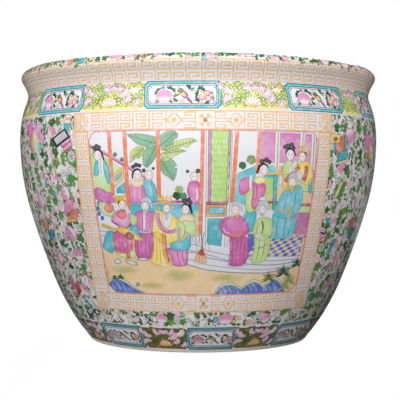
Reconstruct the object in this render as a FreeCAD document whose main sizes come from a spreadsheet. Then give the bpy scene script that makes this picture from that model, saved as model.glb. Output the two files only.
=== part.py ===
import FreeCAD, Part
import os
import re
import Sketcher

# Large Chinese porcelain fish bowl (jardiniere) in the rose-medallion manner.
# The bowl stands on z = 0 with its axis on Z. Its painted front panel faces -Y.
# All lengths are millimetres and all angles degrees.

doc = FreeCAD.newDocument("fish_bowl")

# Driving sizes. Heights are measured up from the table, radii out from the axis,
# and turns round the axis from the front, with the viewer's right positive.

SIZES = {
    # outline of the thrown clay
    "bowl_high": 303.9,
    "foot_radius": 126.3,
    "foot_edge_high": 3.0,
    "foot_bevel": 1.2,
    "belly_radius": 204.9,
    "belly_high": 227.6,
    "neck_radius": 195.9,
    "neck_high": 277.6,
    "neck_groove_high": 7.4,
    "neck_groove_step": 0.6,
    "lip_radius": 203.1,
    "lip_thick": 12.0,
    "mouth_radius": 181.7,
    # wall thicknesses and the floor
    "neck_wall": 12.0,
    "belly_wall": 10.9,
    "mid_wall": 11.6,
    "heel_wall": 14.3,
    "floor_radius": 82.0,
    "floor_high": 22.0,
    # foot ring and the recess inside it
    "foot_wide": 13.0,
    "foot_lean": 1.5,
    "foot_high": 9.0,
    # luted seams between the thrown sections
    "slip_thick": 0.8,
    "key_deep": 3.0,
    "key_half": 2.6,
    "base_radius": 104.0,
    "base_lean": 9.0,
    "base_rise": 10.0,
    # fired coats
    "glaze_thick": 0.5,
    "enamel_thick": 0.4,
    # edges of the painted bands
    "lip_band_low": 296.6,
    "rim_band_low": 275.4,
    "shoulder_top": 274.2,
    "shoulder_low": 248.6,
    "field_top": 247.4,
    "field_low": 30.4,
    "low_band_top": 29.2,
    "low_band_low": 3.6,
    # cartouches round the shoulder and above the foot
    "cartouche_pitch": 41.0,
    "cartouche_line": 2.7,
    "cartouche_notch": 2.4,
    "shoulder_cartouche_half": 36.0,
    "shoulder_cartouche_turn": -3.6,
    "low_cartouche_half_top": 26.4,
    "low_cartouche_half_low": 23.5,
    "low_cartouche_turn": 6.1,
    # big framed pictures, front and back
    "panel_turn": 1.9,
    "panel_top": 246.8,
    "panel_low": 45.8,
    "panel_half_top": 130.0,
    "panel_half_low": 109.0,
    "frame_high": 19.4,
    "frame_wide_top": 15.2,
    "frame_wide_low": 13.6,
    "picture_corner": 6.5,
    # how far a cutting shape runs past what it cuts
    "overrun": 6.0,
}

# Cartouches in a row, and how many of them lie to the left of the front one.
CARTOUCHES = 9
SHOULDER_LEFT = 7
LOW_LEFT = 4

sheet = doc.addObject("Spreadsheet::Sheet", "sizes")
for row, (alias, number) in enumerate(SIZES.items(), start=1):
    sheet.set(f"A{row}", alias)
    sheet.set(f"B{row}", str(number))
    sheet.setAlias(f"B{row}", alias)
doc.recompute()


def linked(text):
    """A formula in size names, as an expression that any object can hold."""
    def full_name(word):
        name = word.group(0)
        return "sizes." + name if name in SIZES else name
    return re.sub(r"[a-z_]+", full_name, text)


def value(text):
    """The number that a formula in size names gives now."""
    return float(sheet.evalExpression(text))


def bind(item, name, text):
    """Ties one property or constraint of an object to a formula in size names."""
    item.setExpression(name, linked(text))


# Stations of the outline that lie between the main sizes, as shares of them.

MID_OUT_SHARE = 0.861
MID_UP_SHARE = 0.659
HEEL_OUT_SHARE = 0.4736
HEEL_UP_SHARE = 0.2812
LIP_UNDER_SHARE = 0.08
LIP_EDGE_IN_SHARE = 0.18
LIP_EDGE_DOWN_SHARE = 0.30
LIP_CROWN_SHARE = 0.48
MOUTH_DOWN_SHARE = 0.53

mid_radius = f"(foot_radius + (belly_radius - foot_radius) * {MID_OUT_SHARE})"
mid_high = f"(belly_high * {MID_UP_SHARE})"
heel_radius = f"(foot_radius + (belly_radius - foot_radius) * {HEEL_OUT_SHARE})"
heel_high = f"(belly_high * {HEEL_UP_SHARE})"
groove_radius = "(neck_radius + neck_groove_step)"
groove_high = "(neck_high - neck_groove_high)"
recess_high = "(foot_high + slip_thick)"
base_top = "(floor_high + base_rise)"
outer_reach = "(max(belly_radius; lip_radius) + overrun)"

# Radius of each arc as a share of its chord. A minus sign bends it the other way.

STRAIGHT = 0
ARC_SHARES = {
    "heel": 3.38,
    "side": 8.4,
    "belly": 3.58,
    "shoulder": 2.6,
    "groove": -1.65,
    "flare": -2.77,
    "lip_edge": 0.75,
    "lip_crown": 1.18,
    "mouth": 0.82,
    "inside_neck": 1.9,
    "inside_shoulder": -2.37,
    "inside_belly": -3.34,
    "inside_side": -6.7,
    "inside_heel": -0.97,
}

# The outline as stations, walked from the foot up the outside to the crown of the
# lip, and from there down to the floor: radius, height, arc that leads there, and
# the direction in which a coat grows there, as shares outward and upward.

OUTSIDE = [
    ("foot_radius", "foot_edge_high", STRAIGHT, 1, 0),
    (heel_radius, heel_high, ARC_SHARES["heel"], 0.92, -0.39),
    (mid_radius, mid_high, ARC_SHARES["side"], 0.96, -0.28),
    ("belly_radius", "belly_high", ARC_SHARES["belly"], 1, 0),
    (groove_radius, groove_high, ARC_SHARES["shoulder"], 0.93, 0.37),
    ("neck_radius", "neck_high", ARC_SHARES["groove"], 0.98, -0.22),
    (f"(lip_radius - lip_thick * {LIP_UNDER_SHARE})", "(bowl_high - lip_thick)",
     ARC_SHARES["flare"], 0.83, -0.56),
    (f"(lip_radius - lip_thick * {LIP_EDGE_IN_SHARE})",
     f"(bowl_high - lip_thick * {LIP_EDGE_DOWN_SHARE})", ARC_SHARES["lip_edge"], 0.64, 0.77),
    (f"(mouth_radius + lip_thick * {LIP_CROWN_SHARE})", "bowl_high",
     ARC_SHARES["lip_crown"], 0, 1),
]

INSIDE = [
    ("mouth_radius", f"(bowl_high - lip_thick * {MOUTH_DOWN_SHARE})",
     ARC_SHARES["mouth"], -1, 0),
    (f"({groove_radius} - neck_wall)", groove_high, ARC_SHARES["inside_neck"], -0.95, -0.3),
    ("(belly_radius - belly_wall)", "belly_high", ARC_SHARES["inside_shoulder"], -1, 0),
    (f"({mid_radius} - mid_wall)", mid_high, ARC_SHARES["inside_belly"], -0.96, 0.28),
    (f"({heel_radius} - heel_wall)", heel_high, ARC_SHARES["inside_side"], -0.9, 0.43),
    ("floor_radius", "floor_high", ARC_SHARES["inside_heel"], 0, 1),
    ("0", "floor_high", STRAIGHT, 0, 1),
]

FOOT = [
    ("0", recess_high, STRAIGHT),
    ("(foot_radius - foot_wide - foot_lean)", recess_high, STRAIGHT),
    ("(foot_radius - foot_wide)", "0", STRAIGHT),
    ("(foot_radius - foot_bevel)", "0", STRAIGHT),
    ("foot_radius", "foot_bevel", STRAIGHT),
]


def clay_line(stations):
    """The stations on the clay itself."""
    return [(out, up, bend) for out, up, bend, lean_out, lean_up in stations]


def coat_line(stations, distance):
    """The stations of a coat's face, at a distance outside the clay."""
    line = []
    for out, up, bend, lean_out, lean_up in stations:
        if out != "0":
            out = f"({out} + {distance} * {lean_out})"
        line.append((out, f"({up} + {distance} * {lean_up})", bend))
    return line


def reversed_line(stations):
    """The same line walked the other way, so that each arc bends the other way."""
    bends = [STRAIGHT] + [-bend for out, up, bend in stations[:0:-1]]
    return [(out, up, bend) for (out, up, old), bend in zip(stations[::-1], bends)]


# Sketches. A station is pinned to the sheet, and an arc's radius follows its chord.

ORIGIN_POINT = (-1, 1)
START, END = 1, 2
AXES = {"DistanceX": -2, "DistanceY": -1}


def middle_of_arc(start, end, share):
    """The point half way along an arc whose radius is share times its chord."""
    chord = end - start
    radius = chord.Length * abs(share)
    depth = radius - (radius ** 2 - (chord.Length / 2) ** 2) ** 0.5
    side = FreeCAD.Vector(chord.y, -chord.x, 0).normalize()
    if share < 0:
        depth = -depth
    return (start + end) / 2 + side * depth


def draw(sketch, stations):
    """Adds a closed chain of lines and arcs through the stations, tied to the sheet."""
    spots = [FreeCAD.Vector(value(out), value(up), 0) for out, up, bend in stations]
    ends = []
    for first in range(len(stations)):
        last = (first + 1) % len(stations)
        start, end = spots[first], spots[last]
        share = stations[last][2]
        if share == STRAIGHT:
            edge = sketch.addGeometry(Part.LineSegment(start, end), False)
        else:
            curve = Part.Arc(start, middle_of_arc(start, end, share), end)
            edge = sketch.addGeometry(curve, False)
            radius = sketch.addConstraint(
                Sketcher.Constraint("Radius", edge, (end - start).Length * abs(share)))
            across = f"{stations[last][0]} - ({stations[first][0]})"
            upward = f"{stations[last][1]} - ({stations[first][1]})"
            bind(sketch, f"Constraints[{radius}]",
                 f"hypot({across}; {upward}) * {abs(share)}")
        forward = (sketch.getPoint(edge, START) - start).Length < (
            sketch.getPoint(edge, START) - end).Length
        ends.append((edge, START, END) if forward else (edge, END, START))
    for (edge, start, end), (after, after_start, after_end) in zip(ends, ends[1:] + ends[:1]):
        sketch.addConstraint(Sketcher.Constraint("Coincident", edge, end, after, after_start))
    for (edge, start, end), spot, (out, up, bend) in zip(ends, spots, stations):
        for kind, text, size in (("DistanceX", out, spot.x), ("DistanceY", up, spot.y)):
            if text == "0":
                sketch.addConstraint(Sketcher.Constraint("PointOnObject", edge, start, AXES[kind]))
                continue
            pin = sketch.addConstraint(Sketcher.Constraint(kind, *ORIGIN_POINT, edge, start, size))
            bind(sketch, f"Constraints[{pin}]", text)


def plane_of(body, role):
    """One of a body's own origin planes or axes, found by its role."""
    for feature in body.Origin.OriginFeatures:
        if feature.Role == role:
            return feature
    raise ValueError(f"{body.Name} has no {role}")


def upright_sketch(body, name):
    """An empty sketch on a body's XZ plane, seen from the front."""
    sketch = body.newObject("Sketcher::SketchObject", name)
    sketch.AttachmentSupport = [(plane_of(body, "XZ_Plane"), "")]
    sketch.MapMode = "FlatFace"
    return sketch


def turned_body(name, stations):
    """A solid of revolution, turned on Z from one closed outline."""
    body = doc.addObject("PartDesign::Body", name)
    outline = upright_sketch(body, name + "_outline")
    draw(outline, stations)
    turning = body.newObject("PartDesign::Revolution", name + "_turning")
    turning.Profile = outline
    turning.ReferenceAxis = (plane_of(body, "Z_Axis"), "")
    return body


def common(name, base, tool):
    """What two shapes share."""
    piece = doc.addObject("Part::Common", name)
    piece.Base = base
    piece.Tool = tool
    return piece


def cut(name, base, tool):
    """A shape with another taken out of it."""
    piece = doc.addObject("Part::Cut", name)
    piece.Base = base
    piece.Tool = tool
    return piece


# Clay. The whole thrown form is one turned outline. It is parted at the seams where
# the potter lutes the sections together, each seam keyed by a low ridge and bedded
# in slip, so that every section keeps the same sweep inside and out.

clay_form = turned_body("clay_form", clay_line(OUTSIDE + INSIDE) + FOOT)


def seam(level, middle, inner):
    """A keyed seam line, from the inside out: flat, a ridge at mid wall, and flat."""
    return [
        (inner, level),
        (f"{middle} - key_half", level),
        (middle, f"{level} + key_deep"),
        (f"{middle} + key_half", level),
        (outer_reach, level),
    ]


def section(name, lower, upper):
    """A clay section or slip bed: what lies between two seam lines."""
    corners = lower + upper[::-1]
    zone = turned_body(name + "_zone", [(out, up, STRAIGHT) for out, up in corners])
    return common(name, clay_form, zone)


foot_middle = "(foot_radius - foot_wide / 2)"
belly_middle = f"({mid_radius} - mid_wall / 2)"
neck_middle = f"({groove_radius} - neck_wall / 2)"
foot_inner = "(foot_radius - foot_wide - foot_lean - overrun / 2)"
belly_seam_high = mid_high
neck_seam_high = groove_high

base_edge = [("base_radius", recess_high), ("base_radius - base_lean", base_top)]
wall_edge = [("base_radius + slip_thick", recess_high),
             ("base_radius - base_lean + slip_thick", base_top)]

foot_ring = section(
    "foot_ring",
    [("0", "0"), (outer_reach, "0")],
    [("0", "foot_high")] + seam("foot_high", foot_middle, foot_inner)[1:])

foot_luting_slip = section(
    "foot_luting_slip",
    seam("foot_high", foot_middle, foot_inner),
    seam(recess_high, foot_middle, foot_inner))

base_slab = section(
    "base_slab",
    [("0", recess_high), base_edge[0]],
    [("0", base_top), base_edge[1]])

base_luting_slip = section(
    "base_luting_slip",
    [base_edge[0], wall_edge[0]],
    [base_edge[1], wall_edge[1]])

lower_wall = section(
    "lower_wall",
    [wall_edge[0]] + seam(recess_high, foot_middle, foot_inner)[1:],
    [wall_edge[1], ("0", base_top)] + seam(belly_seam_high, belly_middle, "0"))

belly_luting_slip = section(
    "belly_luting_slip",
    seam(belly_seam_high, belly_middle, "0"),
    seam(f"({belly_seam_high} + slip_thick)", belly_middle, "0"))

upper_wall = section(
    "upper_wall",
    seam(f"({belly_seam_high} + slip_thick)", belly_middle, "0"),
    seam(neck_seam_high, neck_middle, "0"))

neck_luting_slip = section(
    "neck_luting_slip",
    seam(neck_seam_high, neck_middle, "0"),
    seam(f"({neck_seam_high} + slip_thick)", neck_middle, "0"))

rim_collar = section(
    "rim_collar",
    seam(f"({neck_seam_high} + slip_thick)", neck_middle, "0"),
    [("0", "bowl_high + overrun"), (outer_reach, "bowl_high + overrun")])


# Coats. A coat is the ribbon between two faces that follow the clay, turned on Z.

def coat(name, stations, inner, outer):
    """A closed shell between two distances outside the clay."""
    ribbon = coat_line(stations, inner) + reversed_line(coat_line(stations, outer))
    return turned_body(name, ribbon)


# The clear glaze is one coat, from above the bare foot, over the lip, to the floor.
# Enamel lies outside the glaze, from the foot to the crown of the lip.

glaze_coat = coat("glaze_coat", OUTSIDE + INSIDE, "0", "glaze_thick")
enamel_form = coat("enamel_form", OUTSIDE, "glaze_thick", "(glaze_thick + enamel_thick)")


def enamel_ring(name, low, top):
    """The part of the enamel between two heights."""
    slab = doc.addObject("Part::Cylinder", name + "_slab")
    bind(slab, "Radius", outer_reach)
    bind(slab, "Height", f"{top} - {low}")
    bind(slab, "Placement.Base.z", low)
    return common(name, enamel_form, slab)


lip_flower_band = enamel_ring("lip_flower_band", "lip_band_low", "(bowl_high + overrun)")
rim_fret_band = enamel_ring("rim_fret_band", "rim_band_low", "lip_band_low")


# Shapes drawn on the front view and pushed through the wall from the axis outwards.

def mirrored(right_side):
    """A closed outline from its right half, walked from the top down."""
    left_side = [(f"-({across})", up) for across, up in right_side[::-1]]
    return [(across, up, STRAIGHT) for across, up in right_side + left_side]


def prism(name, outlines, turn):
    """One or two outlines padded from the axis to outside the wall, and turned on Z."""
    body = doc.addObject("PartDesign::Body", name)
    body.Placement = FreeCAD.Placement(
        FreeCAD.Vector(), FreeCAD.Rotation(FreeCAD.Vector(0, 0, 1), value(turn)))
    bind(body, "Placement.Rotation.Angle", turn)
    outline = upright_sketch(body, name + "_outline")
    for stations in outlines:
        draw(outline, stations)
    pad = body.newObject("PartDesign::Pad", name + "_pad")
    pad.Profile = outline
    bind(pad, "Length", outer_reach)
    return body


def row_of_prisms(name, outlines, turn):
    """The prism repeated round the bowl. The last gap is whatever is left."""
    body = prism(name, outlines, turn)
    pad = body.Tip
    doc.recompute()
    pattern = body.newObject("PartDesign::PolarPattern", name + "_row")
    pattern.Originals = [pad]
    pattern.Axis = (plane_of(body, "Z_Axis"), "")
    pattern.Mode = "Spacing"
    bind(pattern, "Offset", "cartouche_pitch")
    pattern.Occurrences = CARTOUCHES
    body.Tip = pattern
    return body


def notched_box(half_top, half_low, low, top, inset):
    """A cartouche outline with a small step at each corner, drawn in by an inset."""
    return mirrored([
        (f"{half_top} - cartouche_notch - {inset}", f"{top} - {inset}"),
        (f"{half_top} - cartouche_notch - {inset}", f"{top} - cartouche_notch - {inset}"),
        (f"{half_top} - {inset}", f"{top} - cartouche_notch - {inset}"),
        (f"{half_low} - {inset}", f"{low} + cartouche_notch + {inset}"),
        (f"{half_low} - cartouche_notch - {inset}", f"{low} + cartouche_notch + {inset}"),
        (f"{half_low} - cartouche_notch - {inset}", f"{low} + {inset}"),
    ])


def cartouche_band(band, half_top, half_low, low, top, turn):
    """A ring of ground enamel with windows, and the cartouche frames round them."""
    outer = notched_box(half_top, half_low, low, top, "0")
    inner = notched_box(half_top, half_low, low, top, "cartouche_line")
    windows = row_of_prisms(band + "_windows", [outer], turn)
    frames = row_of_prisms(band + "_frames", [outer, inner], turn)
    ground = cut(band + "_ground", enamel_ring(band + "_ring", low, top), windows)
    return ground, common(band + "_cartouche_frames", enamel_form, frames)


shoulder_ground, shoulder_cartouche_frames = cartouche_band(
    "shoulder", "shoulder_cartouche_half", "shoulder_cartouche_half",
    "shoulder_low", "shoulder_top",
    f"shoulder_cartouche_turn - cartouche_pitch * {SHOULDER_LEFT}")

lower_ground, lower_cartouche_frames = cartouche_band(
    "lower", "low_cartouche_half_top", "low_cartouche_half_low",
    "low_band_low", "low_band_top",
    f"low_cartouche_turn - cartouche_pitch * {LOW_LEFT}")


# The two framed pictures, and the flower ground that runs round and under them.

frame_outline = mirrored([
    ("panel_half_top", "panel_top"),
    ("panel_half_low", "panel_low"),
])

picture_half_top = "(panel_half_top - frame_wide_top)"
picture_half_low = "(panel_half_low - frame_wide_low)"
picture_outline = mirrored([
    (f"{picture_half_top} - picture_corner", "panel_top - frame_high"),
    (picture_half_top, "panel_top - frame_high - picture_corner"),
    (picture_half_low, "panel_low + frame_high + picture_corner"),
    (f"{picture_half_low} - picture_corner", "panel_low + frame_high"),
])


def framed_picture(side, turn):
    """The fret frame and the picture inside it, which meet edge to edge."""
    opening = prism(side + "_opening", [frame_outline], turn)
    border = prism(side + "_border", [frame_outline, picture_outline], turn)
    scene = prism(side + "_scene", [picture_outline], turn)
    frame = common(side + "_panel_frame", enamel_form, border)
    picture = common(side + "_picture", enamel_form, scene)
    return opening, frame, picture


front_opening, front_panel_frame, front_picture = framed_picture("front", "panel_turn")
back_opening, back_panel_frame, back_picture = framed_picture("back", "panel_turn + 180")

field_ring = enamel_ring("field_ring", "field_low", "field_top")
flower_ground = cut(
    "flower_ground", cut("field_behind", field_ring, front_opening), back_opening)


# Checks, and one file for each piece.

PIECES = [
    foot_ring, foot_luting_slip, base_slab, base_luting_slip, lower_wall,
    belly_luting_slip, upper_wall, neck_luting_slip, rim_collar, glaze_coat,
    lip_flower_band, rim_fret_band, shoulder_ground, shoulder_cartouche_frames,
    front_panel_frame, front_picture, back_panel_frame, back_picture, flower_ground,
    lower_ground, lower_cartouche_frames,
]

doc.recompute()

for item in doc.Objects:
    if "Invalid" in item.State or "Error" in item.State:
        raise ValueError(f"{item.Name} did not compute: {item.State}")

os.makedirs("parts", exist_ok=True)
for piece in PIECES:
    shape = piece.Shape
    if shape.isNull() or not shape.isValid() or not shape.Solids:
        raise ValueError(f"{piece.Label} has no sound solid")
    shape.exportStep(f"parts/{piece.Label}.step")
    print(f"{piece.Label:28s} {len(shape.Solids):2d} solids  {shape.Volume / 1000:9.2f} cm3")
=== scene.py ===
# %% [markdown]
# # A Chinese porcelain fish bowl, painted all over
# The bowl is a turned shape, so its surface is one outline carried round an axis.
# Everything else is paint: thin patches of enamel that lie on the glaze. We draw each
# patch flat, in millimetres, and then wrap it on the bowl. Image textures would be the
# quick way, but drawn patches stay sharp at any size and keep their own gloss.

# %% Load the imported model
import math
import bpy
import numpy as np
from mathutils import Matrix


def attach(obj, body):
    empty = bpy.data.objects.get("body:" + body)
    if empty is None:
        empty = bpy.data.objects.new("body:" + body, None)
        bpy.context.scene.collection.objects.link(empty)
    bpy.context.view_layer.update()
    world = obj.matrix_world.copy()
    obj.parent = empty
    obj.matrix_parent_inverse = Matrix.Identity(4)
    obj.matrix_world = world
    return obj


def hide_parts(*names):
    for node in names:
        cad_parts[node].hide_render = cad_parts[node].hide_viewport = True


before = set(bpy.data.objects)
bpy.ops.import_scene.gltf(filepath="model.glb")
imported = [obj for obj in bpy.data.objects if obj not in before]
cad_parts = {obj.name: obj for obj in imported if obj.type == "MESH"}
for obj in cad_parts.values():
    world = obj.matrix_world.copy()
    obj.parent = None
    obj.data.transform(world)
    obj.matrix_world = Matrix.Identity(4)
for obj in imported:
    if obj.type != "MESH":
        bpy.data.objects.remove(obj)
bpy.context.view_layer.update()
MM = 0.001
chance = np.random.default_rng(11)

# %% [markdown]
# ## The outline
# A potter's outline is a few stations joined by sweeps. Each sweep is an arc, and its
# radius is given as a share of the straight distance between its two stations. Curves
# by eye would do, but arcs keep this surface exactly on the clay underneath.

# %% The outline of the clay, from the foot over the lip to the floor inside
STATIONS = [
    # radius, height, radius of the arc that leads here as a share of its chord, step
    (126.3, 3.0, 0, 1.0), (163.5, 64.0, 3.38, 2.5), (194.0, 150.0, 8.4, 2.5),
    (204.9, 227.6, 3.58, 2.5), (196.5, 270.2, 2.6, 2.2), (195.9, 277.6, -1.65, 0.8),
    (202.14, 291.9, -2.77, 1.2), (200.94, 300.3, 0.75, 0.9), (187.46, 303.9, 1.18, 1.0),
    (181.7, 297.54, 0.82, 1.0), (184.5, 270.2, 1.9, 2.5), (194.0, 227.6, -2.37, 4.0),
    (182.4, 150.0, -3.34, 5.0), (149.2, 64.0, -6.7, 5.0), (82.0, 22.0, -0.97, 5.0),
    (0.5, 22.0, 0, 8.0),
]
GLAZE = 0.5
LIP_LEG = 8


def sweep(start, end, share, step):
    """Points from start to end, start left out. The arc's centre lies on the line that
    halves the chord, and each point is the start turned about that centre."""
    start, end = np.array(start), np.array(end)
    chord = end - start
    length = np.hypot(*chord)
    count = max(2, int(np.ceil(length / step)))
    part = np.arange(1, count + 1)[:, None] / count
    if not share:
        return start + part * chord
    side = np.array([chord[1], -chord[0]]) / length
    radius = length * share
    centre = (start + end) / 2 - side * math.copysign(math.sqrt(radius**2 - length**2 / 4), share)
    first, last = (math.atan2(*(p - centre)[::-1]) for p in (start, end))
    turn = (last - first + math.pi) % (2 * math.pi) - math.pi
    angle = first + turn * part
    return centre + abs(radius) * np.concatenate([np.cos(angle), np.sin(angle)], 1)


legs = [np.array([STATIONS[0][:2]])]
for (r0, z0, _, _), (r1, z1, share, step) in zip(STATIONS[:-1], STATIONS[1:]):
    legs.append(sweep((r0, z0), (r1, z1), share, step))
outline = np.concatenate(legs)
crown = sum(len(leg) for leg in legs[:LIP_LEG + 1])
way = np.gradient(outline, axis=0)
lean = np.stack([way[:, 1], -way[:, 0]], 1) / np.hypot(*way.T)[:, None]
lean[-1] = (0, 1)
glazed = outline + GLAZE * lean
along_line = np.concatenate([[0], np.cumsum(np.hypot(*np.diff(glazed, axis=0).T))])
print("outline:", len(outline), "points,", round(along_line[-1]), "mm long")


# %% [markdown]
# ## Wrapping
# A place on the bowl has two coordinates: an angle round the axis, and a distance along
# the outline from the foot. A small lift off the glaze keeps one layer of enamel above
# another. All three arrive as whole arrays, so a thousand leaves cost one call.

# %% From the drawing to the bowl
def wrap(angle, along, lift):
    """x is radius times the sine of the angle, y is minus radius times its cosine, and z
    is the outline's height. The lift is added along the outline's own normal."""
    out = np.interp(along, along_line, lean[:, 0])
    up = np.interp(along, along_line, lean[:, 1])
    radius = np.interp(along, along_line, glazed[:, 0]) + lift * out
    height = np.interp(along, along_line, glazed[:, 1]) + lift * up
    place = np.stack([radius * np.sin(angle), -radius * np.cos(angle), height], -1)
    facing = np.stack([out * np.sin(angle), -out * np.cos(angle), up], -1)
    return place * MM, facing


def radius_at(along):
    return np.interp(along, along_line, glazed[:, 0])


def along_at(height):
    return np.interp(height, glazed[:crown, 1], along_line[:crown])


def finish_mesh(name, points, faces, colours=None):
    """Puts whole arrays into a new mesh. Four corner numbers make one face."""
    mesh = bpy.data.meshes.new(name)
    mesh.vertices.add(len(points))
    mesh.vertices.foreach_set("co", np.ascontiguousarray(points, np.float32).ravel())
    mesh.loops.add(faces.size)
    mesh.loops.foreach_set("vertex_index", np.ascontiguousarray(faces, np.int32).ravel())
    mesh.polygons.add(len(faces))
    mesh.polygons.foreach_set("loop_start", np.arange(len(faces), dtype=np.int32) * 4)
    mesh.update(calc_edges=True)
    mesh.polygons.foreach_set("use_smooth", np.ones(len(faces), bool))
    if colours is not None:
        paint = mesh.color_attributes.new("paint", "FLOAT_COLOR", "POINT")
        chroma = colours.max(1, keepdims=True) - colours.min(1, keepdims=True)
        full = np.concatenate([colours, np.clip(chroma * 1.7, 0, 1)], 1)
        paint.data.foreach_set("color", full.astype(np.float32).ravel())
    mesh.validate()
    piece = bpy.data.objects.new(name, mesh)
    bpy.context.scene.collection.objects.link(piece)
    return piece


def grid_faces(index):
    """Neighbouring rows and columns of point numbers, taken four at a time."""
    quads = [index[:-1, :-1], index[:-1, 1:], index[1:, 1:], index[1:, :-1]]
    return np.stack(quads, -1).reshape(-1, 4)


# %% [markdown]
# ## Finishes
# A finish is a small graph of nodes. Written as boxes and links it is hard to read, so
# one class wraps a socket and lets Python's +, - and * build the Math nodes. Real glaze is
# never flat: it pools and ripples, so the glaze, enamel and clay here get a faint mottle and a bump.

# %% A socket that does arithmetic, and a finish that owns a graph
class Wire:
    def __init__(self, finish, socket):
        self.finish, self.socket = finish, socket

    def math(self, operation, one, two):
        return self.finish.node("ShaderNodeMath", {"operation": operation}, {0: one, 1: two})

    def __add__(self, other):
        return self.math("ADD", self, other)

    def __radd__(self, other):
        return self.math("ADD", other, self)

    def __sub__(self, other):
        return self.math("SUBTRACT", self, other)

    def __rsub__(self, other):
        return self.math("SUBTRACT", other, self)

    def __mul__(self, other):
        return self.math("MULTIPLY", self, other)

    def __rmul__(self, other):
        return self.math("MULTIPLY", other, self)


class Finish:
    def __init__(self, name, **constants):
        self.material = bpy.data.materials.new(name)
        self.material.use_nodes = True
        self.nodes = self.material.node_tree.nodes
        self.links = self.material.node_tree.links
        self.shader = self.nodes["Principled BSDF"]
        self.feed(self.shader, constants)
        self.place = self.node("ShaderNodeTexCoord", output="Object")

    def feed(self, node, values):
        for key, value in values.items():
            if isinstance(value, Wire):
                self.links.new(value.socket, node.inputs[key])
            else:
                node.inputs[key].default_value = value

    def node(self, kind, settings=None, values=None, output=0):
        """Makes any node: its settings first, then the values or links of its sockets."""
        made = self.nodes.new(kind)
        for key, value in (settings or {}).items():
            setattr(made, key, value)
        self.feed(made, values or {})
        return Wire(self, made.outputs[output])

    def noise(self, size, detail=2.0):
        """A soft random field whose lumps are about size metres across."""
        values = {"Vector": self.place, "Scale": 1 / size, "Detail": detail}
        return self.node("ShaderNodeTexNoise", None, values)

    def tone(self, colour, amount):
        """A colour made lighter and darker: the colour times a grey."""
        grey = self.node("ShaderNodeCombineXYZ", None, {0: amount, 1: amount, 2: amount})
        return self.node("ShaderNodeVectorMath", {"operation": "MULTIPLY"}, {0: colour, 1: grey})

    def relief(self, height, depth):
        values = {"Height": height, "Distance": depth, "Strength": 1.0}
        return self.node("ShaderNodeBump", None, values)

    def wear(self, **values):
        """Feeds the shader what changes over the surface."""
        names = {key.replace("_", " "): value for key, value in values.items()}
        self.feed(self.shader, names)
        return self.material


def hue(red, green, blue):
    """A colour given as 0 to 255, as the linear light that shaders work in."""
    share = np.array([red, green, blue]) / 255
    return np.where(share <= 0.04045, share / 12.92, ((share + 0.055) / 1.055) ** 2.4)


def shader_colour(*values):
    return (*[float(c) for c in hue(*values)], 1.0)


# %% The glaze, the enamel and the bare clay
white_glaze = Finish("white_glaze", Roughness=0.14, IOR=1.5)
ripple = white_glaze.noise(0.018) * 0.6 + white_glaze.noise(0.0035) * 0.4
specks = white_glaze.noise(0.0012, 4.0)
milk = white_glaze.node("ShaderNodeMix", {"data_type": "RGBA"}, {0: white_glaze.noise(0.06, 3.0),
        6: shader_colour(246, 244, 243), 7: shader_colour(236, 236, 238)}, output=2)
white_glaze.wear(
    Base_Color=white_glaze.tone(milk, 0.97 + 0.05 * specks),
    Roughness=0.09 + 0.1 * white_glaze.noise(0.01),
    Normal=white_glaze.relief(ripple, 0.00006))

enamel = Finish("fired_enamel", Roughness=0.2, IOR=1.5)
paint = enamel.node("ShaderNodeAttribute", {"attribute_name": "paint"}, output="Color")
strength = Wire(enamel, paint.socket.node.outputs["Alpha"])
upright = enamel.node("ShaderNodeMapping", {"vector_type": "POINT"},
                      {"Vector": enamel.place, "Scale": (1, 1, 0.3)})
streaks = enamel.node("ShaderNodeTexNoise", None, {"Vector": upright, "Scale": 620.0, "Detail": 3.0})
pooled = enamel.noise(0.0022, 3.0) * 0.6 + enamel.noise(0.012) * 0.4
thin = enamel.node("ShaderNodeMapRange", {"interpolation_type": "SMOOTHSTEP"}, {
    0: streaks * 0.42 + enamel.noise(0.009, 1.0) * 0.58, 1: 0.47, 2: 0.66, 3: 0.0, 4: 0.36})
washed = enamel.node("ShaderNodeMix", {"data_type": "RGBA"}, {
    0: thin * strength, 6: paint, 7: shader_colour(240, 236, 242)}, output=2)
enamel.wear(
    Base_Color=enamel.tone(washed, 1.0 - 0.18 * strength + 0.34 * strength * pooled),
    Roughness=0.12 + 0.2 * pooled,
    Normal=enamel.relief(pooled, 0.00012))

bare_clay = Finish("bare_clay", Roughness=0.75, IOR=1.45)
grain = bare_clay.noise(0.0009, 5.0)
clay_tone = bare_clay.node("ShaderNodeMix", {"data_type": "RGBA"}, {
    0: bare_clay.noise(0.02, 4.0), 6: shader_colour(226, 218, 205),
    7: shader_colour(205, 192, 174)}, output=2)
bare_clay.wear(
    Base_Color=bare_clay.tone(clay_tone, 0.86 + 0.26 * grain),
    Roughness=0.62 + 0.3 * grain,
    Normal=bare_clay.relief(grain, 0.00025))

slip = Finish("fired_slip", Roughness=0.7, IOR=1.45)
slip_grain = slip.noise(0.0015, 4.0)
slip.wear(
    Base_Color=slip.tone(slip.node("ShaderNodeRGB", None, None), 0.9 + 0.2 * slip_grain),
    Roughness=0.6 + 0.3 * slip_grain)
slip.nodes["RGB"].outputs[0].default_value = shader_colour(222, 216, 206)

for node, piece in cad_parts.items():
    skin = slip.material if "slip" in node else bare_clay.material
    for holder in piece.material_slots:
        holder.material = skin
    if not piece.material_slots:
        piece.data.materials.append(skin)
print("finishes:", [m.name for m in bpy.data.materials if m.use_nodes])

# %% [markdown]
# ## The glaze
# The outline carried round the axis is a grid: one row for each outline point, one
# column for each angle. The first column follows the last, so the skin has no seam.

# %% The glazed skin, outside and inside
AROUND = 512
INSIDE_AROUND = 320


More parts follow.
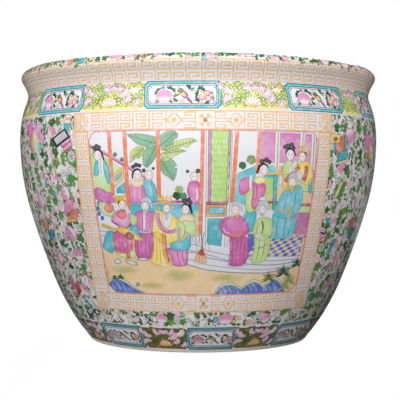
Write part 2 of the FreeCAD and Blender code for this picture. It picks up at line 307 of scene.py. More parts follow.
def turned_skin(name, first, last, columns):
    """A grid of outline points by angles, closed round the bowl."""
    angle = np.linspace(0, 2 * np.pi, columns, endpoint=False)
    points, _ = wrap(angle[None, :], along_line[first:last, None] + 0 * angle[None, :], 0.0)
    index = np.arange(points[..., 0].size).reshape(last - first, columns)
    index = np.concatenate([index, index[:, :1]], 1)
    piece = finish_mesh(name, points.reshape(-1, 3), grid_faces(index))
    piece.data.materials.append(white_glaze.material)
    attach(piece, "root")
    print(name, len(piece.data.polygons), "faces")
    return piece


glazed_outside = turned_skin("glazed_outside", 0, crown, AROUND)
turned_skin("glazed_inside", crown - 1, len(outline), INSIDE_AROUND)
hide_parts("glaze_coat")

# %% [markdown]
# ## The drawing board
# A painter needs few strokes: a tapered petal, an even line, a filled shape, and a
# sheet between two lines. Each is a grid worked out from two shares, one along the
# stroke and one across it. The board keeps them in millimetres with a layer number,
# and the bowl bends them later. Steps stay short, so that no chord cuts the layer below.

# %% Strokes and shapes on the board
LAYER = 0.012
STEP = 3.0
EDGE_LINE = 0.45


def read_marks(marks):
    """A list of points. Marks may also be written as in a drawing file: x,z pairs with a
    space between them."""
    if isinstance(marks, str):
        return [tuple(map(float, pair.split(","))) for pair in marks.split()]
    return marks


def oval(x, y, wide, tall, count=10):
    """Points round an ellipse: its half axes times the cosine and sine of a turn."""
    turn = np.linspace(0, 2 * np.pi, count, endpoint=False)
    return np.stack([x + wide * np.cos(turn), y + tall * np.sin(turn)], 1)


def smooth(points, count, closed=False):
    """A Catmull-Rom line: each point blends its four nearest marks by a cubic."""
    marks = np.asarray(read_marks(points), float)
    many = len(marks)
    if closed:
        place = np.linspace(0, many, count, endpoint=False)
        first = np.floor(place).astype(int)
        a, b, c, d = (marks[(first + s) % many] for s in (-1, 0, 1, 2))
    else:
        place = np.linspace(0, many - 1, count)
        first = np.minimum(np.floor(place).astype(int), many - 2)
        a, b, c, d = (marks[np.clip(first + s, 0, many - 1)] for s in (-1, 0, 1, 2))
    f = (place - first)[:, None]
    return 0.5 * (2 * b + (c - a) * f + (2 * a - 5 * b + 4 * c - d) * f**2
                  + (3 * b - a - 3 * c + d) * f**3)


def straight(points, step=STEP, closed=False):
    """The marks joined by straight runs, each cut into even steps."""
    marks = [np.asarray(p, float) for p in read_marks(points)]
    ends = marks[1:] + (marks[:1] if closed else [])
    runs = []
    for start, end in zip(marks, ends):
        count = max(1, int(np.ceil(np.hypot(*(end - start)) / step)))
        runs.append(start + (end - start) * np.arange(count)[:, None] / count)
    if not closed:
        runs.append(marks[-1][None])
    return np.concatenate(runs)


class Board:
    def __init__(self):
        self.parts = []

    def sheet(self, grid, colour, layer, closed=False):
        rows, columns = grid.shape[:2]
        lift = np.full((rows, columns, 1), layer * LAYER)
        shade = np.broadcast_to(colour, (rows, columns, 3)).reshape(-1, 3)
        index = np.arange(rows * columns).reshape(rows, columns)
        if closed:
            index = np.concatenate([index, index[:, :1]], 1)
        self.parts.append((np.concatenate([grid, lift], -1).reshape(-1, 3), grid_faces(index), shade))

    def between(self, left, right, colour, layer, middle=None, closed=False):
        """A point is left plus its share of the way to right, and the colour changes to
        the middle colour by the sine of that share."""
        left, right = np.asarray(left, float), np.asarray(right, float)
        widest = np.hypot(*(right - left).T).max()
        rows = int(np.ceil(widest / STEP)) + (1 if middle is None else 2)
        share = np.linspace(0, 1, rows)[:, None, None]
        tone = colour if middle is None else colour + np.sin(np.pi * share) * (middle - colour)
        self.sheet(left + share * (right - left), tone, layer, closed)

    def blob(self, marks, colour, layer, middle=None, line=None, count=None):
        """A filled shape: rings that shrink from its smooth edge to its middle."""
        edge = smooth(marks, count or 4 * len(marks), closed=True)
        heart = edge.mean(0)
        rings = int(np.ceil(np.abs(edge - heart).max() / STEP)) + 1
        share = np.linspace(0.02, 1, rings + 1)[:, None, None]
        tone = colour if middle is None else middle + share**2 * (colour - middle)
        self.sheet(heart + share * (edge - heart), tone, layer, closed=True)
        if line is not None:
            self.brush(edge, EDGE_LINE, line, layer + 1, closed=True)

    def brush(self, path, width, colour, layer, middle=None, closed=False):
        """A stroke: the path moved half its width to either side."""
        path = np.asarray(path, float)
        if closed:
            way = np.roll(path, -1, 0) - np.roll(path, 1, 0)
        else:
            way = np.gradient(path, axis=0)
        way = way / np.maximum(np.hypot(*way.T), 1e-9)[:, None]
        side = np.stack([-way[:, 1], way[:, 0]], 1) * np.reshape(width, (-1, 1)) / 2
        self.between(path + side, path - side, colour, layer, middle, closed)

    def petal(self, root, tip, width, colour, layer, bend=0.0, middle=None, count=6):
        """A tapered stroke, as wide as the sine of the share of the way along it."""
        share = np.linspace(0, 1, count)
        root, tip = np.array(root, float), np.array(tip, float)
        chord = tip - root
        bow = np.array([-chord[1], chord[0]]) * bend
        path = root + share[:, None] * chord + np.sin(np.pi * share)[:, None] * bow
        self.brush(path, width * np.maximum(np.sin(np.pi * share)**0.75, 0.05), colour, layer, middle)

    def bar(self, start, end, width, colour, layer):
        """A straight run with square ends that reach half a width past its marks."""
        start, end = np.array(start, float), np.array(end, float)
        way = (end - start) / np.hypot(*(end - start)) * width / 2
        self.brush(straight([start - way, end + way]), width, colour, layer)

    def dot(self, centre, size, colour, layer, middle=None, line=None, tall=1.0):
        turn = np.linspace(0, 2 * np.pi, 6, endpoint=False)
        marks = np.array(centre) + size * np.stack([np.cos(turn), tall * np.sin(turn)], 1)
        self.blob(marks, colour, layer, middle, line, count=12)

    def panel(self, corners, colour, layer, line=None, middle=None):
        """A four-cornered shape: left side up, right side up."""
        corners = read_marks(corners)
        low_left, low_right, top_right, top_left = (np.array(c, float) for c in corners)
        left, right = top_left - low_left, top_right - low_right
        rows = int(np.ceil(max(np.hypot(*left), np.hypot(*right)) / STEP)) + 1
        share = np.linspace(0, 1, rows)[:, None]
        self.between(low_left + share * left, low_right + share * right, colour, layer, middle)
        if line is not None:
            self.brush(straight(corners, closed=True), EDGE_LINE, line, layer + 1, closed=True)

    def place(self, other, x=0.0, y=0.0, turn=0.0, size=1.0, mirror=1, rise=0):
        """Another board's parts, scaled, turned and moved."""
        points, faces, colours = other.merged()
        cos, sin = math.cos(turn) * size, math.sin(turn) * size
        flat = points[:, :2] * (mirror, 1) @ np.array([[cos, sin], [-sin, cos]]) + (x, y)
        self.parts.append((np.concatenate([flat, points[:, 2:] + rise * LAYER], 1), faces, colours))

    def merged(self):
        counts = np.cumsum([0] + [len(p) for p, _, _ in self.parts])
        return (np.concatenate([p for p, _, _ in self.parts]),
                np.concatenate([f + n for (_, f, _), n in zip(self.parts, counts)]),
                np.concatenate([c for _, _, c in self.parts]))


# %% Enamel: boards laid on the bowl, gathered into one piece
class Enamel:
    def __init__(self):
        self.points, self.faces, self.colours, self.count = [], [], [], 0

    def add(self, angle, along, lift, faces, colours):
        points, facing = wrap(angle, along, lift)
        points, facing = points.reshape(-1, 3), facing.reshape(-1, 3)
        corner = points[faces]
        across = np.cross(corner[:, 2] - corner[:, 0], corner[:, 3] - corner[:, 1])
        inward = np.einsum("ij,ij->i", across, facing[faces[:, 0]]) < 0
        faces = np.where(inward[:, None], faces[:, ::-1], faces)
        self.points.append(points)
        self.faces.append(faces + self.count)
        self.colours.append(colours)
        self.count += len(points)

    def lay(self, board, angle, along, turn=0.0, size=1.0, mirror=1, tint=1.0, rise=0):
        """Copies of a drawing round the bowl. A distance to the side becomes an angle
        through the radius at that height."""
        points, faces, colours = board.merged()
        angle, along, turn, size, mirror, rise = np.broadcast_arrays(
            *(np.atleast_1d(v).astype(float)[:, None] for v in (angle, along, turn, size, mirror, rise)))
        x, y = points[:, 0] * mirror * size, points[:, 1] * size
        over, up = x * np.cos(turn) - y * np.sin(turn), x * np.sin(turn) + y * np.cos(turn)
        heights = along + up
        angles = np.radians(angle) + over / radius_at(heights)
        copies = len(angles)
        faces = (faces + np.arange(copies)[:, None, None] * len(points)).reshape(-1, 4)
        tint = np.reshape(tint, (-1, 1, 1 if np.ndim(tint) < 2 else 3))
        shades = np.broadcast_to(colours, (copies, *colours.shape)) * tint
        self.add(angles, heights, points[:, 2] + rise * LAYER, faces, shades.reshape(-1, 3))

    def lay_front(self, board, angle):
        """A drawing seen square from one side, pushed through the wall: its x is the
        radius times the sine of the angle from that side."""
        points, faces, colours = board.merged()
        along = along_at(points[:, 1])
        reach = np.clip(points[:, 0] / radius_at(along), -0.999, 0.999)
        self.add(math.radians(angle) + np.arcsin(reach), along, points[:, 2], faces, colours)

    def make(self, name, slot, *nodes):
        piece = finish_mesh(name, np.concatenate(self.points), np.concatenate(self.faces),
                            np.concatenate(self.colours))
        piece.data.materials.append(enamel.material)
        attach(piece, "root")
        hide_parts(*nodes)
        print(name, len(piece.data.polygons), "faces")


def drawing(draw):
    """Gives a drawing function a new board to draw on, and returns that board."""
    def drawn(*values, **named):
        board = Board()
        draw(board, *values, **named)
        return board
    return drawn


# %% The painter's colours
WHITE = hue(236, 234, 240)
FRET = hue(242, 190, 118)
# The rim's gold is paler than the frame's fret: partly its own paler lines, partly painted light that lifts
# the rim, which lies in shade under the lip.
RIM_GOLD = hue(244, 202, 142)
TURQUOISE = hue(72, 186, 200)
TEAL = hue(38, 104, 116)
MAUVE = hue(132, 104, 140)
ROSE = hue(226, 120, 170)
PALE_ROSE = hue(250, 208, 226)
MAGENTA = hue(196, 92, 160)
LEAF = hue(58, 138, 52)
DARK_LEAF = hue(26, 84, 34)
SAGE = hue(132, 186, 150)
PALE_SAGE = hue(176, 204, 180)
YELLOW = hue(250, 212, 104)
LEMON = hue(246, 232, 130)
POST = hue(238, 118, 78)
LIME = hue(188, 222, 128)
ROBE_YELLOW = hue(248, 220, 74)
GOLD = hue(222, 166, 60)
SAND = 1.16 * hue(226, 196, 152)
BLUE = hue(78, 106, 214)
INK = hue(46, 38, 44)
BROWN = hue(140, 92, 84)
SALMON = hue(226, 132, 104)
SKIN = hue(244, 226, 222)
GREY = hue(150, 152, 164)

# %% [markdown]
# ## The fret
# The rim band is a square spiral hooked on an upright, twice in each cell, between two
# border lines. One cell is drawn and copied round. A spiral is a line that turns four
# times, so straight bars with square ends give the crisp corners of a printed band.

# %% One fret cell, and bands of it
FRET_LINE = 1.45


def fret_cell(width, height, line=FRET_LINE, colour=FRET):
    """Two rows of spirals. Places across are shares of the width, and up of the height."""
    cell = Board()
    for low in (0.0, 0.525):
        marks = [(1.0, low), (0.2, low), (0.2, low + 0.345), (0.77, low + 0.345),
                 (0.77, low + 0.16), (0.42, low + 0.16)]
        marks = [(x * width, y * height) for x, y in marks]
        for start, end in zip(marks[:-1], marks[1:]):
            cell.bar(start, end, line, colour, 2)
    cell.bar((width, 0), (width, height), line, colour, 3)
    return cell


def ring_band(low, top, colour, layer, upper=None):
    """A closed band between two distances along the outline. Its colour can change to
    another one by the share of the way up."""
    rows = max(2, int(np.ceil((top - low) / 1.2)) + 1)
    angle = np.linspace(0, 2 * np.pi, AROUND, endpoint=False)[None, :]
    along = np.linspace(low, top, rows)[:, None] + 0 * angle
    index = np.arange(along.size).reshape(along.shape)
    index = np.concatenate([index, index[:, :1]], 1)
    lift = np.full(along.size, layer * LAYER)
    share = np.linspace(0, 1, rows)[:, None, None] + np.zeros((1, AROUND, 1))
    tone = colour + share * ((colour if upper is None else upper) - colour)
    return (angle + 0 * along).ravel(), along.ravel(), lift, grid_faces(index), tone.reshape(-1, 3)


# %% The rim band
RIM_CELLS = 82
rim_low, rim_top = along_at(276.6), along_at(296.2)
rim = Enamel()
# The rim's white ground grows lighter towards the top: a painted highlight that offsets the shade under the
# overhanging lip.
rim.add(*ring_band(along_at(275.2), along_at(297.0), hue(238, 236, 242), 1, hue(252, 250, 254)))
cell_wide = 2 * np.pi * radius_at(rim_low + 10) / RIM_CELLS
cell = fret_cell(cell_wide, rim_top - rim_low, 1.4, RIM_GOLD)
rim.lay(cell, np.arange(RIM_CELLS) * 360 / RIM_CELLS + 1.0, rim_low, rise=14)
rim.add(*ring_band(rim_top - 0.7, rim_top + 0.7, RIM_GOLD, 17))
rim.add(*ring_band(rim_low - 0.6, rim_low + 0.7, RIM_GOLD, 17))
rim.make("rim_fret", "gold_fret_enamel", "rim_fret_band")

# %% [markdown]
# ## Leaves and flowers
# The flower ground looks endless but is a small stock of motifs set down again and
# again, each a little turned, sized and tinted. That is how the painters worked, too.

# %% The stock of motifs
@drawing
def blossom(board, edge=ROSE, heart=PALE_ROSE, size=3.4):
    """Round petals about a yellow eye."""
    for turn in np.arange(5) * 2 * np.pi / 5:
        centre = (size * 0.62 * math.cos(turn), size * 0.62 * math.sin(turn))
        board.dot(centre, size * 0.5, edge, 5, middle=heart)
    board.dot((0, 0), size * 0.28, GOLD, 7, middle=LEMON)


@drawing
def twig(board):
    """A bent stem with side shoots and buds."""
    stem = smooth("-6,-4 -2,-1 1,2.2 6,4.5", 9)
    board.brush(stem, 0.55, BROWN, 3)
    for root, tip in (((-2, -1), (-1.6, 4.0)), ((1, 2.2), (5, -0.4)), ((3, 3.4), (3.4, 6.6))):
        board.petal(root, tip, 0.5, BROWN, 3, bend=0.2, count=5)
        board.dot(tip, 1.2, ROSE, 5, middle=PALE_ROSE)
    board.petal((-4, -2.6), (-7.5, 0.6), 2.0, DARK_LEAF, 4, middle=LEAF, bend=0.2)


@drawing
def fern(board):
    """Fine grey-green fronds on a thin stem."""
    board.petal((0, -6), (0.5, 6), 0.5, SAGE, 2, bend=0.12, count=5)
    for side in (-1, 1):
        for height in (-4, -1.6, 0.8, 3.2):
            board.petal((0, height), (side * (5.2 - 0.4 * height), height + 2.6), 1.1, SAGE, 3,
                        bend=0.15 * side, middle=PALE_SAGE, count=5)


@drawing
def butterfly(board):
    """Two pairs of wings about a dark body."""
    for side in (-1, 1):
        board.petal((0, 0), (side * 6.2, 3.8), 4.0, BROWN, 4, middle=LEMON)
        board.petal((0, -0.6), (side * 4.4, -3.6), 3.2, BROWN, 4, middle=ROSE)
    board.petal((0, -2.8), (0, 3.0), 1.1, INK, 6, count=5)


@drawing
def curl(board, turns, size, colour):
    """A scrolling tendril: the radius shrinks as the angle grows."""
    share = np.linspace(0, 1, 16)
    angle = share * turns * 2 * np.pi
    radius = size * (1 - 0.78 * share)
    path = np.stack([radius * np.cos(angle), radius * np.sin(angle)], 1)
    board.brush(path, 1.5 * (1 - 0.55 * share) + 0.15, colour, 3)


@drawing
def lotus(board):
    """White petals fanned upwards, each with a gold line round it."""
    for number, turn in enumerate(np.linspace(-1.35, 1.35, 7)):
        tip = (7.0 * math.sin(turn), -2.5 + 7.6 * math.cos(turn))
        board.petal((0, -3), tip, 3.3, GOLD, 5 + 2 * (number % 2), bend=0.04)
        inner = (tip[0] * 0.92, -2.6 + (tip[1] + 2.6) * 0.92)
        board.petal((0, -2.6), inner, 2.2, WHITE, 6 + 2 * (number % 2), bend=0.04, middle=hue(250, 250, 244))
    board.dot((0, -2.6), 1.5, GOLD, 9, middle=LEMON)


@drawing
def fan_bloom(board, edge=ROSE, heart=PALE_ROSE, petals=7, size=5.0):
    """A chrysanthemum seen from the side."""
    for number, turn in enumerate(np.linspace(-1.5, 1.5, petals)):
        tip = (size * math.sin(turn), size * math.cos(turn) - 1.5)
        board.petal((0, -1.0), tip, 2.5, edge, 4 + 2 * (number % 2), count=5)
        board.petal((0, -0.9), (tip[0] * 0.92, tip[1] * 0.92), 1.7, heart, 5 + 2 * (number % 2), count=5)


STOCK = {
    "blossom": blossom(), "white_blossom": blossom(hue(214, 160, 186), WHITE), "twig": twig(),
    "fern": fern(), "butterfly": butterfly(), "fan": fan_bloom(),
}
print("motifs:", {name: len(board.merged()[1]) for name, board in STOCK.items()})

# %% [markdown]
# ## Cartouches
# Nine framed windows sit in the shoulder band and nine above the foot. Each frame is a
# box with a small step at every corner, seen square from its own side, so the drawing is
# pushed straight through the wall. Between the windows lies a yellow ground of scrolls.

# %% Small motifs for the ground
GREENS = [hue(88, 148, 62), hue(58, 110, 56), hue(124, 158, 86), hue(98, 138, 98)]
LINE_BROWN = hue(150, 104, 110)


@drawing
def sprig(board, colour, leaves=5):
    """Short leaves set by turns along a bent stem, with one at its end."""
    stem = smooth("-5.5,-2.5 -1.5,-0.6 2.0,0.2 5.0,2.6", 7)
    board.brush(stem, 0.5, colour * 0.6, 3)
    for number in range(leaves):
        share = (number + 0.4) / leaves
        root = stem[int(share * 6)]
        side = 1 if number % 2 else -1
        tip = root + (2.0 + 0.8 * number % 2, side * (4.2 - 1.4 * share))
        board.petal(root, tip, 3.1, colour * 0.62, 4 + number % 2, bend=0.1 * side, middle=colour * 1.12,
                    count=5)


@drawing
def tuft(board, colour):
    """Three broad leaves from one point."""
    for turn in (-1.0, 0.05, 1.15):
        tip = (5.4 * math.sin(turn), -1.5 + 5.6 * math.cos(turn))
        board.petal((0, -1.5), tip, 3.4, colour * 0.6, 4, bend=0.1, middle=colour * 1.12, count=5)


@drawing
def line_flower(board):
    """A white bloom drawn in thin brown loops."""
    for number in range(5):
        turn = number * 2 * np.pi / 5
        tip = (4.2 * math.cos(turn), 4.2 * math.sin(turn))
        start, end = (tip[0] * 0.12, tip[1] * 0.12), (tip[0] * 0.88, tip[1] * 0.88)
        board.petal((0, 0), tip, 3.2, LINE_BROWN, 4 + 2 * (number % 2), count=5)
        board.petal(start, end, 2.2, WHITE, 5 + 2 * (number % 2), count=5)
    board.dot((0, 0), 0.8, LINE_BROWN, 8)


@drawing
def scribble(board, colour=LINE_BROWN):
    """Loose curls in one thin line."""
    for x, y, start in ((-2.6, 0.5, 0.4), (2.2, -1.0, 3.4)):
        angle = start + np.linspace(0, 5.2, 12)
        radius = np.linspace(3.0, 0.9, 12)
        board.brush(np.stack([x + radius * np.cos(angle), y + radius * np.sin(angle)], 1), 0.55, colour, 3)


@drawing
def frond(board, colour):
    """Fine pale lines that fan from a stem."""
    for number in range(7):
        turn = -1.3 + 0.43 * number
        tip = (6.4 * math.sin(turn), -2.5 + 6.8 * math.cos(turn))
        board.petal((0, -2.5), tip, 0.9, colour, 3, bend=0.1, count=4)


@drawing
def pale_peony(board):
    """A big bloom, rose at its crown and pale at its foot, on dark leaves."""
    for side in (-1, 1):
        board.petal((side * 2, -4.6), (side * 9.0, -7.4), 3.4, GREENS[1] * 0.8, 4, bend=0.15 * side,
                    middle=GREENS[0], count=5)
    rim = [(0, -6.4), (5, -5.8), (8, -1.6), (7.6, 3), (4.4, 5.8), (0, 7.8), (-4.4, 5.8), (-7.6, 3),
           (-8, -1.6), (-5, -5.8)]
    board.blob(rim, hue(226, 146, 186), 5, middle=hue(240, 192, 216))
    board.blob([(x * 0.8, min(y, -1.8) * 0.92) for x, y in rim if y < 4], hue(240, 222, 230), 7, middle=WHITE)
    for turn, wide in ((-1.0, 3.8), (-0.35, 4.2), (0.35, 4.2), (1.0, 3.8)):
        tip = (7.0 * math.sin(turn), 7.4 * math.cos(turn))
        board.petal((tip[0] * 0.3, tip[1] * 0.05), tip, wide, hue(218, 116, 168), 8,
                    middle=hue(236, 168, 202), count=5)


@drawing
def ivy(board, colour):
    """A lobed leaf of five round parts, with its veins."""
    for turn, reach, wide in ((-1.9, 5.0, 3.8), (-0.95, 6.6, 4.8), (0.0, 7.6, 5.0), (0.95, 6.6, 4.8),
                              (1.9, 5.0, 3.8)):
        tip = (reach * math.sin(turn), reach * math.cos(turn) - 2)
        board.petal((0, -2), tip, wide, colour * 0.7, 4, middle=colour * 1.15, count=5)
        board.bar((0, -2), (tip[0] * 0.7, -2 + (tip[1] + 2) * 0.7), 0.35, colour * 0.45, 6)


# %% A cartouche and its spray
def notched(half_top, half_low, low, top, inset, notch=3.0):
    """The frame's outline, drawn in by an inset. It is walked once round."""
    scoop = 0.66 * notch
    right = [(half_top - notch - inset, top - inset), (half_top - scoop - inset, top - scoop - inset),
             (half_top - inset, top - notch - inset), (half_low - inset, low + notch + inset),
             (half_low - scoop - inset, low + scoop + inset), (half_low - notch - inset, low + inset)]
    return right + [(-x, y) for x, y in right[::-1]]


def even_loop(marks, counts):
    """A closed outline whose runs are cut into the given numbers of steps, so that two
    such outlines can be joined point by point."""
    marks = np.array(marks)
    ends = np.roll(marks, -1, 0)
    return np.concatenate([a + (b - a) * np.arange(n)[:, None] / n for a, b, n in zip(marks, ends, counts)])


@drawing
def cartouche(board, half_top, half_low, low, top, band=TURQUOISE, line=TEAL):
    """White ground and frame lines."""
    counts = [1, 1, 9, 1, 1, 18, 1, 1, 9, 1, 1, 18]
    loops = {inset: even_loop(notched(half_top, half_low, low, top, inset), counts)
             for inset in (0.0, 0.8, 2.9, 3.6, 4.4, 5.1)}
    upper = straight([(-half_top, top), (half_top, top)])
    lower = upper * [half_low / half_top, 0] + [0, low]
    board.between(upper, lower, WHITE, 13)
    edge = line * 0.6
    for outer, inner, colour, layer in ((0.0, 0.8, edge, 24), (0.8, 2.9, band, 23), (2.9, 3.6, edge, 24),
                                        (4.4, 5.1, MAUVE, 23)):
        board.between(loops[outer], loops[inner], colour, layer, closed=True)


@drawing
def cartouche_spray(board):
    """A peony, a bird and a blossom among leaves, some 60 mm wide and 18 mm high."""
    dark = hue(34, 96, 52)
    leaves = [tuft(dark), tuft(GREENS[0]), sprig(dark, 4), STOCK["fern"]]
    for x, y, turn, kind, size in ((-26, 2.4, 1.0, 0, 0.6), (-24, 5.4, 0.4, 0, 0.6),
                                   (-19.4, 7.4, 0.0, 1, 0.55), (-12.4, 7.0, -0.4, 0, 0.75),
                                   (-8.8, 4.8, -1.0, 0, 0.65), (-6.0, -1.0, 0.3, 1, 0.7),
                                   (-6.6, -5.6, 2.4, 0, 0.65), (-0.8, -7.4, -1.2, 3, 0.6),
                                   (6.2, 8.0, -0.9, 0, 0.7), (10.4, 6.0, 0.6, 1, 0.5),
                                   (17.4, 7.0, 0.5, 0, 0.7), (20.4, 5.0, -0.6, 0, 0.7),
                                   (14.6, 1.0, 1.3, 0, 0.7), (14.8, -5.0, 2.0, 0, 0.75),
                                   (24.6, -8.0, -2.6, 0, 0.65), (30.0, -3.8, -1.5, 1, 0.6),
                                   (28.8, 1.4, -0.9, 1, 0.5), (18.8, -8.6, 3.0, 3, 0.5),
                                   (-26, -7.0, 2.0, 3, 0.7)):
        board.place(leaves[kind], x, y, turn, size, rise=kind == 0)
    board.place(pale_peony(), -18.0, -1.6, 0.0, 0.98, rise=3)
    board.brush(smooth("-2.2,9.4 -4.8,6.5 -3.0,1.4 2.5,-2.0", 12), 2.0, ROSE, 3, middle=PALE_ROSE)
    wood = hue(120, 80, 90)
    board.brush(smooth("5,7.0 9,3.4 14,4.4 21,2.0", 10), 0.5, wood, 3)
    board.brush(smooth("14,4.4 17,7.6 21,8.6", 7), 0.4, wood, 3)
    board.petal((3.2, -2.0), (10.6, -9.6), 3.0, hue(120, 70, 116), 6, middle=hue(176, 120, 166))
    board.petal((-2.0, 5.0), (5.8, -4.8), 6.4, hue(130, 84, 130), 7, middle=hue(190, 132, 170))
    board.petal((-1.4, 2.2), (3.4, -1.8), 4.2, GOLD, 8, middle=ROBE_YELLOW)
    board.dot((-1.6, 4.2), 2.7, DARK_LEAF, 9, middle=hue(110, 160, 60))
    board.dot((-2.4, 4.8), 0.5, INK, 11)
    board.petal((-3.4, 4.2), (-5.8, 3.0), 1.1, BROWN, 9, count=4)
    for x, y in ((19.4, -2.8), (24.0, 1.4), (25.4, -3.8)):
        board.dot((x, y), 3.3, hue(222, 110, 130), 6, middle=PALE_ROSE, line=hue(170, 80, 110))
    board.dot((21.0, -0.6), 2.6, GOLD, 8, middle=LEMON)


@drawing
def scroll_ground(board, base, leaf, flower, heart, metal, half):
    """A ground of scrolls and thread curls, with a row of blooms at the top and more at the sides."""
    top, low = 13.4, -14.2
    board.between(straight([(-half, top), (half, top)]), straight([(-half, low), (half, low)]), base, 12)
    spots = [(x, y) for x in np.arange(-0.94, 0.95, 0.126) * half for y in (11.0, 7.0, 3.0, -1.0, -5.0, -9.0)]
    tendrils = [curl(1.15, 3.1, leaf), curl(1.0, 2.9, leaf * 0.72), curl(1.1, 2.8, leaf * (1.25, 1.15, 0.9))]
    for number, (x, y) in enumerate(spots):
        board.place(tendrils[number * 7 % 3], x + 1.1 * math.sin(5.1 * number),
                    y + 0.8 * math.cos(3.7 * number), number * 1.3, 0.92, 1 if number % 2 else -1, rise=17)
    thread = curl(0.9, 2.8, metal)
    for number in range(26):
        x, y = half * 0.9 * math.sin(2.4 * number + 0.4), 10.5 * math.sin(1.7 * number + 1.0)
        board.place(thread, x, y, number * 2.1, 0.7, rise=16)
    bloom = fan_bloom(flower, heart)
    for x, y, turn, size in ((-7.5, 8.2, 2.3, 1.1), (0, 9.0, 3.1, 1.15), (7.5, 8.2, -2.3, 1.1),
                             (-0.70 * half, 4.5, 2.4, 1.25), (-0.76 * half, -4.5, 0.5, 1.2),
                             (0.34 * half, 2.6, -2.3, 1.35), (0.46 * half, -3.4, -2.3, 1.1),
                             (0.72 * half, -7.6, -2.2, 1.05), (-0.9 * half, 9.0, 1.9, 0.9)):
        board.place(bloom, x, y, turn, size, rise=20)
    board.place(fan_bloom(metal, WHITE), 0.64 * half, 7.4, -2.5, 1.4, rise=20)


# %% The shoulder band
SHOULDER = (248.0, 275.8)
PITCH = 41.0
shoulder = Enamel()
shoulder_mid = along_at(sum(SHOULDER) / 2)
spray_board, lotus_board = cartouche_spray(), lotus()
window = cartouche(37.6, 37.6, *SHOULDER, band=hue(98, 200, 212))
window_angles = -4.4 + PITCH * (np.arange(9) - 7)
ground = scroll_ground(hue(252, 226, 148), hue(108, 170, 84), hue(196, 122, 182), hue(246, 222, 242),
                       hue(234, 178, 96), 37.5)
for angle in window_angles:
    shoulder.lay_front(window, angle)
shoulder.lay(spray_board, window_angles, shoulder_mid, size=0.98, rise=21)
shoulder.lay(ground, window_angles[:-1] + PITCH / 2, shoulder_mid)
shoulder.lay(lotus_board, window_angles[:-1] + PITCH / 2 - 0.8, shoulder_mid - 6.4, size=1.35, rise=21)
short_gap = (window_angles[-1] + window_angles[0] + 360) / 2
shoulder.lay(ground, short_gap, shoulder_mid, size=[0.99])
for low, wide in ((along_at(SHOULDER[0]) - 1.4, 1.4), (along_at(SHOULDER[1]), 0.8)):
    shoulder.add(*ring_band(low, low + wide, WHITE, 25))
shoulder.make("shoulder_band", "yellow_ground_enamel", "shoulder_ground", "shoulder_cartouche_frames")

# %% The band above the foot, in deeper colours
LOW_BAND = (3.6, 29.2)
low_band = Enamel()
low_mid = (along_at(LOW_BAND[0]) + along_at(LOW_BAND[1])) / 2
low_window = cartouche(28.0, 25.0, *LOW_BAND, band=hue(88, 158, 168), line=hue(40, 92, 104))
low_angles = 5.8 + PITCH * (np.arange(9) - 4)
olive = scroll_ground(hue(122, 98, 40), hue(70, 98, 40), hue(180, 96, 140), hue(240, 214, 230),
                      hue(224, 160, 80), 25.5)
for angle in low_angles:
    low_band.lay_front(low_window, angle)
low_band.lay(spray_board, low_angles, low_mid, size=0.76, tint=hue(214, 214, 206)[None], rise=21)
low_band.lay(olive, low_angles[:-1] + PITCH / 2, low_mid, size=1.06)
low_band.lay(lotus_board, low_angles[:-1] + PITCH / 2, low_mid - 7, size=1.15, tint=hue(244, 200, 140)[None],
             rise=21)
low_band.lay(olive, (low_angles[-1] + low_angles[0] + 360) / 2, low_mid, size=1.06)
low_band.add(*ring_band(along_at(29.4), along_at(30.4), WHITE, 25))
low_band.make("lower_band", "olive_ground_enamel", "lower_ground", "lower_cartouche_frames")

# %% [markdown]
# ## The framed pictures
# Each big picture is pushed through the wall like a cartouche. Its frame is a fret
# that runs round in four strips and mitres at the corners. We lay it by shares: one
# share along a strip and one across it, between the two slanted edges of the panel.

# %% The frame of fret
FRONT, BACK = 1.9, 181.9
PANEL = {"top": 246.8, "low": 45.8, "half_top": 130.0, "half_low": 109.0, "bulge": 3.5}
INNER = {"top": 227.4, "low": 65.2, "half_top": 114.8, "half_low": 95.4, "bulge": 1.6}


def panel_edge(side, height, box):
    """The x of a slanted side at a height. A parabola bulges it outwards."""
    share = (height - box["low"]) / (box["top"] - box["low"])
    bulge = 4 * box["bulge"] * np.clip(share * (1 - share), 0, 1)
    return side * (box["half_low"] + share * (box["half_top"] - box["half_low"]) + bulge)


# %% Half of the frame: five spirals, a diamond and a claw, then mirrored
def even(points, count):
    """Marks joined by straight runs, then divided into equal steps of length."""
    points = np.asarray(read_marks(points), float)
    length = np.concatenate([[0], np.cumsum(np.hypot(*np.diff(points, axis=0).T))])
    place = np.linspace(0, length[-1], count)
    return np.stack([np.interp(place, length, points[:, 0]), np.interp(place, length, points[:, 1])], 1)


def arc_x(arc, height):
    """A distance along the wall, turned into the x seen from the front."""
    radius = radius_at(along_at(height))
    return radius * np.sin(arc / radius)


def through(board, drawing, where, rise=0):
    """Moves every point of a drawing by where(x, y)."""
    points, faces, colours = drawing.merged()
    x, z = where(points[:, 0], points[:, 1])
    board.parts.append((np.stack([x, z, points[:, 2] + rise * LAYER], 1), faces, colours))


@drawing
def cell_row(board, cells, pitch, height, line=1.35):
    """Fret cells side by side."""
    cell = fret_cell(pitch, height, line)
    for number in range(cells):
        board.place(cell, number * pitch)


